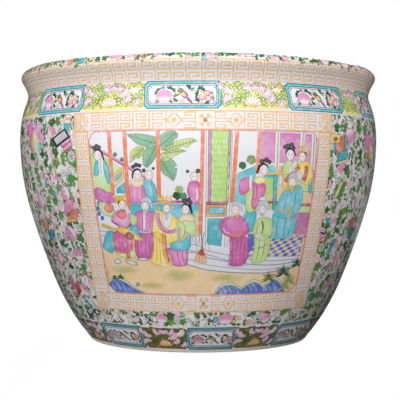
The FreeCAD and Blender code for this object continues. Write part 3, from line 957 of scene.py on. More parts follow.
@drawing
def claw_unit(board, height):
    """From the last spiral to the middle: a stepped diamond, two joined hooks, a claw.
    It is drawn left of the middle, and y runs across the strip."""
    mid = height / 2
    corner = [(6.6, 1.5), (4.7, 1.5), (4.7, 3.9), (2.6, 3.9), (2.6, 6.2)]
    ring = corner + [(-x, y) for x, y in corner[::-1]]
    ring = ring + [(x, -y) for x, y in ring[::-1]]
    for start, end in zip(ring, ring[1:] + ring[:1]):
        board.bar((start[0] - 30.0, start[1] + mid), (end[0] - 30.0, end[1] + mid), 1.2, FRET, 2)
    board.panel([(-30, mid - 3.4), (-26.9, mid), (-30, mid + 3.4), (-33.1, mid)], FRET, 3)
    for side in (-1, 1):
        marks = [(-22.5, 1.5), (-9.6, 1.5), (-9.6, 7.6), (-19.6, 7.6), (-19.6, 4.6), (-13.2, 4.6)]
        for start, end in zip(marks[:-1], marks[1:]):
            board.bar((start[0], mid + side * start[1]), (end[0], mid + side * end[1]), 1.2, FRET, 2)
        for turn in (0.1, 0.55, 1.0, 1.45):
            tip = (-3.0 - 4.4 * math.cos(turn), mid + side * (1.6 + 5.6 * math.sin(turn)))
            board.petal((-1.6, mid + side * 1.6), tip, 1.3, FRET, 3, bend=-0.12 * side, count=6)
    board.dot((0, mid), 2.2, GOLD, 5, middle=YELLOW)


STRIP = 19.4
STRIP_FRET = STRIP - 2.2
ROW_CELLS = 5
ROW_PITCH = 16.5
ROW_END = 38.0
half_frame = Board()
for low, sign in ((INNER["top"] + 1.1, 1), (INNER["low"] - 1.1, -1)):
    scale = 1.0 if sign > 0 else PANEL["half_low"] / PANEL["half_top"]

    def where(x, y, low=low, sign=sign, scale=scale):
        z = low + sign * y
        return arc_x(x * scale, z), z

    row = cell_row(ROW_CELLS, ROW_PITCH, STRIP_FRET)
    shifted = Board()
    shifted.place(row, -ROW_END - ROW_CELLS * ROW_PITCH)
    shifted.place(claw_unit(STRIP_FRET))
    through(half_frame, shifted, where)

COLUMN_CELLS = 11
COLUMN_WIDE = 12.6
COLUMN_START = 4.7
COLUMN_LINE = 1.15
column_long = along_at(INNER["top"]) - along_at(INNER["low"])


def column(x, y):
    """x runs up the side from the lower inner corner, y from the inner edge outwards."""
    z = np.interp(along_at(INNER["low"]) + x, along_line[:crown], glazed[:crown, 1])
    inner, outer = panel_edge(-1, z, INNER), panel_edge(-1, z, PANEL)
    return inner + (outer - inner) * (y + 1.0) / 14.6, z


upright = Board()
upright.place(cell_row(COLUMN_CELLS, (column_long - COLUMN_START) / COLUMN_CELLS, COLUMN_WIDE, COLUMN_LINE),
              COLUMN_START)
upright.bar((3.0, 0), (3.0, COLUMN_WIDE), COLUMN_LINE, FRET, 3)
through(half_frame, upright, column)


def corner_block(board, inner, outer):
    """Between two strips: an open box on the outer side, an upright, a diagonal from the
    picture's corner and two hooks."""
    (xi, zi), (xo, zo) = inner, outer
    for line in ("0.98,0.88 0.84,0.88 0.84,0.27 0.98,0.27", "0.91,0.74 0.91,0.42", "0.71,0.98 0.71,0.1",
                 "0.60,0.88 0.42,0.88 0.42,0.72 0.60,0.72", "0.68,0.58 0.42,0.2 0.2,0.06",
                 "0.60,0.34 0.50,0.14 0.66,0.14", "0.30,0.98 0.30,0.28 0.12,0.28 0.12,0.8",
                 "0.98,0.02 0.0,0.02", "0.56,0.98 0.56,0.56 0.44,0.56", "0.12,0.52 0.0,0.52",
                 "0.80,0.14 0.80,0.0"):
        marks = [(xi + across * (xo - xi), zi + up * (zo - zi)) for across, up in read_marks(line)]
        for start, end in zip(marks[:-1], marks[1:]):
            board.bar(start, end, 1.15, FRET, 3)


for end, up in (("top", 1), ("low", -1)):
    inner = (panel_edge(-1, INNER[end], INNER) + 0.5, INNER[end] + up * 0.8)
    outer = (panel_edge(-1, PANEL[end], PANEL) + 1.0, PANEL[end] - up * 1.0)
    corner_block(half_frame, inner, outer)


def box_line(board, box, pull, wide, colour, layer):
    """A line along a panel's four sides, pulled inwards."""
    heights = np.linspace(box["low"] + pull, box["top"] - pull, 76)
    for side in (-1, 1):
        board.brush(np.stack([panel_edge(side, heights, box) - side * pull, heights], 1), wide, colour, layer)
    for height in heights[[0, -1]]:
        reach = panel_edge(1, height, box) - pull
        board.bar((-reach, height), (reach, height), wide, colour, layer)


frame_art = Board()
heights = np.arange(PANEL["low"], PANEL["top"] + 2.9, 2.9).clip(None, PANEL["top"])
left, right = ([(panel_edge(side, z, PANEL), z) for z in heights] for side in (-1, 1))
frame_art.between(left, right, hue(232, 232, 239), 11)
frame_art.place(half_frame, rise=10)
frame_art.place(half_frame, mirror=-1, rise=10)
box_line(frame_art, PANEL, 0.8, 1.4, FRET, 13)
box_line(frame_art, INNER, -0.9, 1.4, FRET, 13)

front_frame, back_frame = Enamel(), Enamel()
front_frame.lay_front(frame_art, FRONT)
back_frame.lay_front(frame_art, BACK)
front_frame.make("front_fret_frame", "gold_fret_enamel", "front_panel_frame")
back_frame.make("back_fret_frame", "gold_fret_enamel", "back_panel_frame")

# %% [markdown]
# ## The picture
# A court scene in the export style: posts and a door, ladies and bearded men in bright
# robes, steps, rocks and banana leaves. Enamellers drew a thin outline first and filled
# it with one wash each, paler in its middle. Our outlines are marks given in
# millimetres: x from the panel's middle and z from the table. The first number of a
# stroke is its layer, and a stroke with a higher one lies on top.

# %% The painter's helpers
GOLDEN_TURN = 2.4
picture = Board()


def wash(layer, colour, pale, marks, line=True):
    """A filled outline with a thin darker edge."""
    marks = read_marks(marks)
    edge = colour * 0.55 if line else None
    picture.blob(marks, colour, layer, middle=pale, line=edge, count=6 * len(marks))


def pane(layer, colour, corners, line=None):
    """A four-cornered field, with a thin line round it if it has a colour for one."""
    picture.panel(corners, colour, layer, line)


def fold(layer, colour, wide, *lines):
    """Soft lines of one colour and width, each through its own marks."""
    for marks in map(read_marks, lines):
        picture.brush(smooth(marks, 4 * len(marks)), wide, colour, layer)


def pleats(layer, colour, wide, shifts, line):
    """One fold again and again, each moved to the side."""
    for shift in shifts:
        fold(layer, colour, wide, [(x + shift, z) for x, z in read_marks(line)])


def bush(x, z, size, colour, dots, wide, pale):
    """Round dots on a ring, each turned by the golden angle from the one before."""
    for turn in GOLDEN_TURN * np.arange(dots):
        place = (x + size * 0.5 * math.cos(turn), z + size * 0.5 * math.sin(turn))
        picture.dot(place, size * wide, colour, 18, middle=colour * pale)


def area(layer, colour, upper, lower, pale=None, columns=None):
    """A field between an upper and a lower line, each cut into equal steps."""
    upper, lower = read_marks(upper), read_marks(lower)
    span = max(np.hypot(*np.diff(np.array(line, float), axis=0).T).sum() for line in (upper, lower))
    count = columns or int(np.ceil(span / STEP)) + 1
    picture.between(even(upper, count), even(lower, count), colour, layer, pale)


def face(x, z, wide, tall, look=0.0, layer=24, hair=INK, knots=(), beard=None):
    """An oval with the eyes half-way down, the nose a quarter lower and a small mouth.
    look moves them to one side. Hair lies behind it, and knots are round tufts."""
    picture.blob(oval(x - look, z + 0.17 * tall, 0.55 * wide, 0.46 * tall), hair, layer - 1, count=18)
    narrow = 1 - 0.2 * np.maximum(0, -np.sin(np.linspace(0, 2 * np.pi, 10, endpoint=False)))
    picture.blob(oval(x, z - 0.04 * tall, 0.48 * wide * narrow, 0.48 * tall), SKIN, layer,
                 middle=hue(252, 244, 242), line=hue(150, 140, 150), count=20)
    for side in (-1, 1):
        eye, brow = x + wide * (0.2 * side + 0.1 * look), z + 0.13 * tall
        picture.petal((eye - 0.11 * wide, z), (eye + 0.11 * wide, z), 0.6, INK, layer + 2, count=4)
        picture.petal((eye - 0.14 * wide, brow), (eye + 0.14 * wide, brow), 0.4, GREY, layer + 2, bend=0.15,
                      count=4)
        picture.dot((eye + 0.08 * wide * side, z - 0.16 * tall), 0.1 * wide, hue(248, 214, 214), layer + 1)
    nose = (x + 0.16 * look * wide, z - 0.18 * tall)
    picture.petal((x + 0.1 * look * wide, z), nose, 0.4, hue(196, 160, 160), layer + 2, count=4)
    mouth = (x + 0.1 * look * wide, z - 0.29 * tall)
    picture.dot(mouth, 0.08 * wide, hue(204, 84, 84), layer + 2, tall=0.6)
    for dx, dz, size in knots:
        picture.dot((x + dx, z + dz), size, INK, layer, middle=hue(96, 92, 100))
    if beard is not None:
        for side in (-1, 0, 1):
            root = (x + 0.16 * side * wide, z - 0.3 * tall)
            tip = (x + 0.1 * side * wide, z - 0.3 * tall - beard)
            picture.petal(root, tip, 0.3 * wide, hue(170, 172, 182), layer + 1, middle=hue(226, 226, 232),
                          count=5)


def gold_crown(x, z, wide, layer=26):
    """A low band with three tongues and a pendant at each side."""
    for turn in (-0.9, -0.3, 0.3, 0.9):
        picture.petal((x + wide * 0.3 * turn, z), (x + wide * 0.62 * turn, z + 0.55 * wide), 2.4, GOLD,
                      layer, middle=YELLOW)
    picture.petal((x - 0.6 * wide, z - 0.3), (x + 0.6 * wide, z - 0.3), 2.4, hue(206, 140, 52), layer + 1,
                  middle=YELLOW)
    for side in (-1, 1):
        picture.petal((x + side * 0.5 * wide, z), (x + side * 0.66 * wide, z - 0.4 * wide), 1.1, GOLD, layer)


def headcloth(x, z, wide, layer=26):
    """A white cap with grey folds and one falling end."""
    picture.blob([(x - 0.55 * wide, z), (x - 0.3 * wide, z + 0.45 * wide), (x + 0.2 * wide, z + 0.5 * wide),
                  (x + 0.6 * wide, z + 0.2 * wide), (x + 0.55 * wide, z - 0.15 * wide),
                  (x, z + 0.12 * wide)], WHITE, layer, line=GREY)
    picture.petal((x + 0.5 * wide, z + 0.2 * wide), (x + 0.72 * wide, z - 0.75 * wide), 2.4, GREY, layer - 1,
                  middle=WHITE)
    for bow in (0.12, 0.28):
        fold(layer + 1, GREY, 0.5, [(x - 0.4 * wide, z + bow * wide), (x, z + (bow + 0.14) * wide),
                                    (x + 0.45 * wide, z + bow * wide * 0.6)])


# %% Sky, sand, steps and the garden wall
SKY = hue(234, 235, 240)
for low, top, colour in ((INNER["low"], 128.0, SAND), (127.0, INNER["top"], SKY)):
    z = np.linspace(low, top, int((top - low) / 2.8) + 2)
    left, right = (np.stack([panel_edge(side, z, INNER), z], 1) for side in (-1, 1))
    picture.between(left, right, colour, 15)
for x, z, wide, tall in ((-80, 90, 16, 5), (-25, 85, 17, 7), (22, 82, 18, 5), (-52, 74, 14, 4),
                         (-100, 84, 6, 8)):
    picture.blob(oval(x, z, wide, tall), SAND, 16, middle=hue(196, 190, 116))
steps_top = "-17,124 -8,127 2,119 24,113 44,108 66,104 99,103"
steps_low = "-18,96 0,90.5 20,88 40,86.5 60,86 80,88 98,93"
area(16, hue(226, 227, 234), steps_top, steps_low)
for share, wide in ((0.02, 0.9), (0.3, 0.7), (0.55, 0.9), (0.8, 0.6), (0.98, 1.0)):
    line = even(steps_top, 30) * (1 - share) + even(steps_low, 30) * share
    picture.brush(line, wide, hue(140, 142, 156), 17)
fold(17, hue(150, 150, 164), 0.8, "-17,111 -6,109 4,106 24,100")
# garden wall, lattice windows and rails on the left
area(16, LIME, "-115,212 -92,199", "-113,165 -91,165", hue(214, 236, 180))
area(16, hue(206, 232, 170), "-91,198 -80,191", "-90,184 -79,184")
fold(17, MAGENTA, 3.4, "-114,214 -96,205 -76,193 -51,178")
fold(18, hue(236, 178, 214), 1.1, "-114,215 -96,206 -76,194 -51,179")
pane(18, YELLOW, "-90,172 -79,181.5 -79,193 -90,184", BROWN)
pane(20, hue(120, 200, 226), "-87.5,178 -81.2,183.5 -81.2,188.6 -87.5,183", TEAL)
pane(18, hue(228, 236, 240), "-89,164 -78,164 -77.5,180 -89,171.5", GREY)
pane(19, TURQUOISE, "-86,167 -77.5,167 -77.5,178 -86,171", TEAL)
for x, z in ((-87.5, 204.5), (-80.5, 199.5)):
    picture.dot((x, z), 2.4, hue(120, 168, 140), 17, middle=hue(70, 130, 100))
area(17, hue(208, 84, 150), "-73,160 -5,160", "-73,157 -5,157")
area(17, TURQUOISE, "-73,156.5 -5,156.5", "-73,126 -5,138", hue(104, 204, 216))
for z, x in ((168, -107.6), (163, -107.0), (156.5, -104.5), (151.5, -105.2), (146.5, -104.4), (142, -101.0)):
    picture.panel([(x - 1.6, z - 2.2), (x + 1.6, z - 2.2), (x + 1.4, z + 2.2), (x - 1.8, z + 2.2)], BLUE, 17)
pane(17, hue(224, 228, 236), "-107,112 -95,112 -95,134 -107,134", GREY)
fold(18, GREY, 0.7, "-106,129 -96,128", "-106,124.5 -96,123.5")
# the door in the middle
area(17, hue(232, 232, 238), "0.2,227 30,227", "0.2,112 24,110")
for post in ("2.7,158 5.4,158 5.9,227 3.0,227", "20.2,158 22.4,158 25.0,227 22.6,227"):
    picture.panel(post, hue(206, 140, 186), 19, line=hue(120, 70, 110))
pane(18, hue(190, 220, 132), "5.6,158.6 20.4,158.6 22.4,227 6.1,227")
for number in range(60):
    row, column = divmod(number, 5)
    place = (7.4 + 3.1 * column + 1.5 * (row % 2), 161.6 + 5.5 * row)
    picture.dot(place, 1.7, hue(190, 222, 132), 19, middle=hue(202, 231, 148), line=hue(174, 213, 120),
                tall=2.6)
pane(20, hue(196, 96, 160), "1.4,156 22,156 22.2,158.4 1.4,158.4", hue(120, 50, 100))
pane(19, hue(238, 170, 84), "1.2,144.4 20.8,144.4 21.2,155.6 1.2,155.6", hue(140, 84, 30))
pane(21, hue(112, 204, 220), "3.8,147 18.4,147 18.6,153.4 3.8,153.4", TEAL)
pane(19, hue(84, 184, 196), "2.8,117 16.0,115 18.4,142 2.8,142", TEAL)
for x in (0.8, 19.6, 22.6):
    picture.brush(even([(x + (x > 10) * 3.6, 226), (x, 114)], 38), 0.6, hue(150, 160, 150), 19)
# window, railing and wall on the right
area(17, hue(96, 196, 208), "30.5,185 50,194", "28,154 48,154", hue(130, 212, 222))
fold(18, hue(238, 240, 240), 3.2, "31,187.5 40,191.5 50,196")
fold(19, GREY, 0.6, "31,185.6 40,189.6 50,194")
bush(36, 193.5, 4.0, hue(70, 130, 96), 7, 0.48, 0.7)
bush(44.5, 199, 5.0, hue(150, 176, 100), 7, 0.48, 0.7)
area(17, hue(212, 128, 184), "55,226.5 113,225", "53,194 111,178", hue(224, 160, 202))
for number in range(34):
    x, z = 57 + 52 * (number * 0.618 % 1), 199 + 25 * (math.sin(number * 12.9) * 43.7 % 1)
    tip = (x + 4 * math.cos(2.4 * number), z + 4 * math.sin(2.4 * number))
    picture.petal((x, z), tip, 2.2, hue(214, 132, 188), 18, middle=hue(238, 190, 222), bend=0.3)
for top, low in ((71.3, 70.2), (97.5, 94.6), (109.5, 108.0)):
    picture.brush(even([(top, 226), (low, 190)], 14), 4.2, hue(236, 240, 232), 19)
    picture.brush(even([(top + 0.3, 226), (low + 0.3, 190)], 14), 1.2, hue(150, 180, 130), 20)
area(19, hue(236, 240, 236), "54,196.5 78,196", "54,194 78,193.5")
pane(18, hue(240, 190, 96), "60,184.5 75,184.5 76,194.4 61,194.4", BROWN)
pane(19, hue(112, 204, 226), "60,187 70,187 70.6,193 60,193")
pane(17, hue(184, 218, 132), "57,150 68,150 68,183 57,183")
pane(18, TURQUOISE, "66.8,150 70.4,150 71.0,184 67.2,184", TEAL)
area(18, TURQUOISE, "57,184.6 71,184.6", "57,182 71,182")
area(17, hue(190, 220, 150), "70,184 112,182", "70,140 106,140", hue(214, 232, 180))
# table, blocks and the chequered floor
area(18, hue(240, 208, 170), "71,171.5 83,172.5", "59,161.5 72,161")
area(18, hue(196, 88, 76), "60,159 73,159", "60,156.6 73,156.6")
pane(18, hue(240, 208, 170), "94,156.5 108,156.5 108.6,168.5 96,168.5", BROWN)
pane(19, hue(196, 88, 76), "93,153.4 107,153.4 107.4,156 93,156")
pane(18, hue(206, 128, 178), "89,122 104,122 106,147 92,147", hue(140, 80, 120))
area(17, hue(90, 110, 206), "43,127 101,124", "43,103 98.6,103")
for row in range(7):
    for number in range(14):
        x, z = 41.6 + 4.7 * number + 2.0 * row, 103.2 + 3.15 * row
        if (row + number) % 2 and x + 7 < panel_edge(1, z, INNER) and x > 42:
            corners = [(x, z), (x + 4.8, z + 0.2), (x + 7.2, z + 3.3), (x + 2.4, z + 3.1)]
            picture.panel(corners, hue(244, 210, 150), 18, line=hue(196, 200, 220))

# %% One torn leaf
def banana(layer, colour, vein, marks, root, tip, reach):
    """A torn leaf: an outline whose every second point is drawn in, and a midrib with side
    veins that lean towards the tip."""
    marks = read_marks(marks)
    outline = even(marks + marks[:1], 57)[:-1]
    centre = outline.mean(0)
    outline = centre + (outline - centre) * np.where(np.arange(56) % 2, 0.92, 1.03)[:, None]
    wash(layer, colour, colour * 1.12, outline)
    root, tip = np.array(root, float), np.array(tip, float)
    along = (tip - root) / np.hypot(*(tip - root))
    across = np.array([-along[1], along[0]])
    for share in np.linspace(0.08, 0.9, 9):
        start = root + share * (tip - root)
        for side in (-1, 1):
            vein_end = start + reach * (1.05 - 0.75 * share) * (0.66 * along + 0.75 * side * across)
            picture.bar(start, vein_end, 0.4, vein, layer + 1)
    picture.brush(np.linspace(root, tip, 9), 0.6, vein, layer + 2)


# %% Banana leaves behind the posts, rocks and tufts along the lower edge
green, deep, fresh, moss = hue(142, 186, 154), hue(64, 118, 90), hue(200, 214, 140), hue(100, 122, 66)
banana(16, green, deep, "-75.8,223.8 -66,224.6 -56.6,223.4 -46.4,221 -46,208 -53,209.5 -60.1,212.7 "
       "-66.2,214.5 -71,219", (-46, 214), (-74, 222.8), 8.5)
banana(17, green, deep, "-46,217 -46,204.7 -51.3,195.8 -56.6,190.9 -59.8,194 -60.4,202 -58.4,208 -54,215",
       (-47, 214), (-56.6, 193), 8.5)
banana(17, green, deep, "-44.5,221.6 -37.5,226.2 -28.8,226.4 -25.9,223.6 -26.8,219.6 -31,218 -29.8,215.4 "
       "-33,212.4 -39,210 -44.5,209.6", (-44, 212), (-28.5, 224.6), 8.0)
banana(17, green, deep, "-44.5,199.6 -39,201.4 -34.4,201.2 -30,198 -27.2,193.2 -32,192.4 -26.8,190.6 "
       "-28.2,183.3 -30.3,178.2 -34.7,182.2 -40.2,185 -43.2,190.8", (-43, 199), (-30.8, 180.4), 9.0)
banana(19, fresh, moss, "-72.6,196.4 -72.6,204.9 -69.9,209.3 -65.3,212.4 -60,212.4 -57.7,206 -60.9,203.4 "
       "-64.5,199.8 -67.4,202.6 -69.4,198.6", (-58.5, 211), (-70.6, 199.6), 6.0)
banana(18, fresh, moss, "-44,204.4 -36,208 -27,209.9 -17.8,207.4 -25,205.0 -28.2,202.9 -33.8,199.4 "
       "-38.4,196.9 -41,200.6", (-41, 205), (-20.4, 207.6), 4.6)
banana(19, fresh, moss, "-42.4,208.6 -32.2,213 -28.6,217.3 -21.5,218.6 -12.7,220 -7.4,217.0 -13,214.6 "
       "-17.4,209.8 -21.4,212.2 -27,209.2 -36,206.8", (-41, 208), (-9.4, 217.6), 5.2)
for marks, wide in (("-93.6,227 -89.8,166", 3.8), ("-78.2,227 -74.2,150", 3.9), ("-45.6,227 -44.4,162", 4.1),
                    ("-2.4,227 -4.4,122", 3.9), ("30.7,226 26.2,158", 4.0), ("53.0,226 50.6,186", 4.0)):
    (_, top), (_, low) = read_marks(marks)
    picture.brush(even(marks, 30), wide, POST, 21)
    for x, z in even(marks, int(top - low) // 2):
        picture.bar((x - wide * 0.42, z - 0.8), (x + wide * 0.42, z + 0.8), 0.4, hue(246, 178, 140), 22)
bush(-25, 170.5, 4.2, hue(150, 176, 110), 6, 0.5, 1.25)
bush(-27, 164.5, 4.4, DARK_LEAF, 6, 0.5, 1.25)
bush(-21.5, 164, 4.2, hue(84, 140, 96), 6, 0.5, 1.25)
rock, crest, shade = hue(84, 112, 200), hue(196, 214, 172), hue(44, 62, 120)
for marks in map(read_marks, ("-99,71 -96,78 -90,82.5 -82,80.5 -74,75 -66,70 -59,65.8 -78,65.8 -92,66",
                              "11,66 14,72 20,76.5 28,77.5 35,74 42,67 30,65.8 18,65.8",
                              "34,66 41,75 49,80 56,78 62,71 66,66 50,65.8",
                              "58,66 64,76 72,82 79,77 84,66 70,65.8")):
    wash(19, crest, hue(222, 232, 206), marks)
    centre = np.mean(marks, 0)
    for size, colour, layer in ((0.82, hue(150, 180, 150), 21), (0.74, rock, 22)):
        inner = [tuple((np.array(m) - centre) * (0.92, size) + centre - (0, 1.6)) for m in marks]
        wash(layer, colour, hue(112, 140, 214) if layer == 22 else colour, inner, line=layer == 21)
    for shift in np.arange(-9, 11, 2.6):
        crack = [(centre[0] + shift - 3, centre[1] + 3.4 - 0.25 * abs(shift)),
                 (centre[0] + shift, centre[1] - 0.5), (centre[0] + shift + 1.4, centre[1] - 4.6)]
        fold(24, shade if shift % 1 > 0.5 else hue(150, 176, 232), 0.6, crack)
for x, z, size, colour, blades in ((81.4, 85, 11, hue(30, 84, 62), 19), (96, 93.5, 9, hue(36, 90, 68), 15),
                                   (65.8, 80, 9, hue(90, 104, 56), 15), (88, 76, 9, hue(140, 160, 90), 19),
                                   (84, 70, 7, hue(150, 164, 96), 15), (-84, 81, 5, DARK_LEAF, 9),
                                   (-90, 80, 4, DARK_LEAF, 7), (-66, 74, 4, hue(130, 130, 40), 7)):
    for turn in np.linspace(-2.2, 2.2, blades):
        reach = size * (0.8 + 0.2 * math.cos(7 * turn))
        tip = (x + reach * math.sin(turn), z + reach * math.cos(turn))
        picture.petal((x, z), tip, 1.2, colour, 25, middle=colour * 1.3, bend=0.12 * math.sin(turn * 3),
                      count=5)
print("court and garden:", len(picture.merged()[1]), "faces")

# %% The figures on the left
pale_lime, pink, pale_pink = hue(216, 236, 178), hue(216, 122, 184), hue(242, 196, 224)
# the lady in the corner
wash(20, LIME, pale_lime, "-113,206 -106,199 -98,199 -94,192 -92,180 -91,167 -102,168 -113,173 -114,190")
wash(22, TURQUOISE, hue(120, 206, 222), "-107,198 -104.5,196 -104,186 -108,184 -109,190")
wash(22, TURQUOISE, hue(120, 206, 222), "-98,199 -94.5,192 -92.5,178 -95,177 -98,186 -99,194")
fold(24, hue(236, 236, 244), 4.0, "-101.8,201 -102.2,193 -100.6,184")
fold(25, GREY, 0.6, "-102,200 -102.4,192 -100.8,185")
face(-105.2, 204.2, 8.4, 10.4, -0.2, knots=((-3.4, 7.2, 2.3), (1.4, 7.6, 2.3), (-1.0, 9.2, 2.0)))
fold(24, INK, 1.5, "-100.8,208 -99.6,203 -98.6,199")
wash(24, hue(200, 104, 176), hue(216, 130, 190), "-108,171 -103,172 -96,168 -89,166 -88,158 -97,157.5 "
     "-105,159.5 -109,165")
# the crowned man
wash(20, LIME, pale_lime, "-104,158 -97,158 -90,152 -87,146 -92,143.5 -100,146 -104,151")
wash(22, hue(232, 124, 116), hue(240, 152, 140), "-99,153 -95.5,157 -91,155.5 -89.5,151 -92,148 -97,148.5")
wash(20, pink, pale_pink, "-92,140.5 -89,147 -84,150 -78,150 -73.5,146 -71.5,138 -76,132 -82,134 -88,137")
wash(22, hue(232, 124, 116), hue(240, 160, 150), "-86,145 -83,149.5 -78.5,149 -77.5,144 -81,141")
fold(23, hue(90, 44, 60), 0.8, "-92,139 -86,135 -78,131 -72,137")
wash(20, hue(72, 180, 200), hue(110, 200, 216), "-97,127.5 -89.5,127.5 -90,109 -94,107 -101,112 -100,119")
wash(20, hue(208, 84, 150), hue(222, 128, 190), "-90,127 -88.5,109 -80,106.5 -73,108 -70.5,114 -71.5,126 "
     "-80,128")
fold(22, hue(232, 116, 100), 2.6, "-89.5,126 -88.6,118 -86,109 -80,107.4", "-72.4,126 -71.2,118 -72,110")
pleats(22, hue(176, 60, 130), 0.5, (0, 4, 8), "-84,125 -84.6,117 -83,109")
wash(21, LIME, pale_lime, "-88.5,108 -84,103.5 -77,101.5 -76.5,106 -82,107.5")
wash(21, LIME, pale_lime, "-74,108 -70,110.5 -67.5,106 -70,101 -73,103")
fold(22, hue(226, 110, 100), 4.0, "-75.6,108 -75,101")
wash(21, hue(170, 170, 182), WHITE, "-89.5,99 -86,101 -83,98.5 -84,95.5 -89,96")
wash(21, hue(170, 170, 182), WHITE, "-77.5,100 -72,99 -66.5,97 -67.5,94 -73,95.5 -77.5,97")
fold(23, hue(226, 186, 84), 3.2, "-102,135.5 -92,132 -80,129 -71,125 -64.5,123.4")
fold(24, hue(170, 120, 50), 0.5, "-102,134 -92,130.4 -80,127.4 -71,123.5")
wash(24, hue(232, 200, 92), hue(242, 220, 126), "-84,133 -74,131 -64.5,124 -60,121.5 -66,120 -76,124.5 "
     "-85,128.5")
wash(25, hue(164, 72, 72), hue(206, 116, 104), "-78,125 -75.5,128 -72,127.5 -69.5,124 -71.5,121 -76,121.5")
pleats(27, hue(120, 50, 50), 0.4, (-2, 0, 2), "-75.4,127.4 -73,121.6")
face(-80.6, 155.6, 7.6, 9.6, 0.4)
gold_crown(-83.2, 160.6, 8.6)
for x, z in ((-88.5, 163.5), (-86.5, 158), (-78.5, 164)):
    picture.dot((x, z), 1.7, GOLD, 25, middle=YELLOW)
fold(24, hue(226, 228, 236), 2.2, "-91,157 -87,153 -84.5,150")
fold(24, hue(226, 228, 236), 1.6, "-76.5,154 -75,150 -77,147")
# the maid and the young lady
wash(20, hue(214, 118, 184), hue(236, 176, 214), "-73,174 -67,177 -60.5,175 -57.8,168 -58,158.5 -65,157 "
     "-72.5,158 -73.5,166")
pleats(22, hue(178, 84, 150), 0.5, (0, 5, 10), "-70.5,172 -71,166 -70,159.5")
wash(22, hue(240, 206, 160), hue(246, 224, 190), "-72.5,180 -66,178 -60.5,180.5 -59.8,175.5 -66,172.5 "
     "-71.5,175.5")
face(-65.4, 184.8, 8.0, 10.0, 0.2, knots=((-4.2, 7.6, 2.0), (-1.2, 9.4, 2.3), (2.0, 8.8, 2.0)))
fold(24, INK, 1.4, "-69.8,188 -70.4,184 -70.2,181")
wash(19, TURQUOISE, hue(118, 208, 224), "-61.5,179 -56,180 -51,178 -47.5,172 -46.5,160 -52,158.5 -57.5,163 "
     "-60.5,172")
pleats(21, hue(40, 120, 150), 0.5, (0, 4), "-56,177 -54.5,169 -54,162")
face(-54.2, 184.4, 8.4, 9.6, 0.3, hair=hue(226, 224, 232), knots=((-5.0, 4.4, 2.0), (4.2, 6.4, 1.5)))
fold(22, hue(220, 96, 160), 1.2, "-62.5,183.5 -59,182.6")
# the bearded man
wash(20, hue(206, 104, 172), hue(228, 156, 204), "-68,147 -62,150 -55,148.5 -49.5,149 -50.5,139 -52.5,128 "
     "-62,127 -67,134 -69,141")
wash(20, hue(200, 92, 164), hue(220, 134, 190), "-67,127 -59,129 -50.8,128 -50,117 -51.5,103.5 -58,101.5 "
     "-66,103 -68.5,111 -68.5,120")
pleats(22, hue(160, 62, 130), 0.5, (0, 4, 8, 12), "-65.5,125 -66,114 -64.5,104")
wash(21, LIME, pale_lime, "-73,144 -69.5,146 -66.5,143 -67,137 -70,135 -73,138")
wash(21, hue(72, 180, 200), hue(110, 200, 216), "-72.5,135 -66.5,134.5 -63.5,127.5 -67,124.5 -71,125 -73,129")
fold(22, WHITE, 2.4, "-59.5,148 -59.2,140 -59.6,131")
fold(23, hue(120, 84, 130), 0.6, "-60.6,148 -60.4,140 -60.6,131")
fold(23, hue(210, 190, 210), 1.6, "-64,129 -58,128 -52,129")
wash(22, hue(150, 150, 162), WHITE, "-66,101.5 -60,102.8 -55,101.4 -56,99.5 -61,100 -66,99.6")
face(-58, 154.4, 8.0, 9.4, 0.0, hair=hue(176, 178, 188), beard=5.0)
headcloth(-57.4, 158.4, 8.4)
print("strokes on the picture:", len(picture.parts))

# %% The figures in the middle
yellow, pale_yellow = hue(244, 214, 84), hue(250, 236, 140)
wash(20, yellow, pale_yellow, "-47,150 -42,149 -33,146.5 -26,140.5 -22.4,131 -24,122 -31,118 -42,118.5 "
     "-50,127 -52,136 -50.5,145")
wash(20, yellow, pale_yellow, "-49.5,128 -42,126 -38,120 -36,109 -31.5,97 -37,93 -47,95.5 -52.5,100 "
     "-50.5,112")
fold(22, hue(202, 122, 178), 4.2, "-46.2,148 -45.4,141 -42,133 -35,129 -27,131")
fold(23, hue(226, 166, 204), 1.4, "-47,147 -46.2,141 -43,134 -36,130")
fold(22, hue(236, 162, 78), 3.0, "-41,128 -40.5,116 -38.5,104 -35,96")
fold(23, hue(186, 84, 130), 1.4, "-38.5,126 -37.5,112 -34.5,98")
fold(22, hue(216, 160, 60), 0.7, "-47.5,126 -46.5,112 -47,99", "-44,124 -43.5,110 -42.5,97")
fold(24, hue(190, 188, 230), 1.6, "-28.5,133 -26,128 -26.5,122")
fold(24, hue(230, 140, 60), 1.0, "-24.5,133 -24,127 -25,121.5")
wash(24, hue(228, 228, 236), WHITE, "-41,146 -36.5,148 -32.5,146 -33,137 -36.5,132.5 -40,137")
face(-37.2, 152, 7.4, 9.0, 0.0, hair=hue(180, 180, 190), beard=9.5)
gold_crown(-39, 158.6, 12.5)
for x, z in ((-46, 158), (-44.6, 152.5), (-31, 153), (-33, 160)):
    picture.dot((x, z), 1.3, GOLD, 25, middle=YELLOW)
fold(25, hue(236, 150, 110), 2.6, "-35,161.5 -33,162.5")
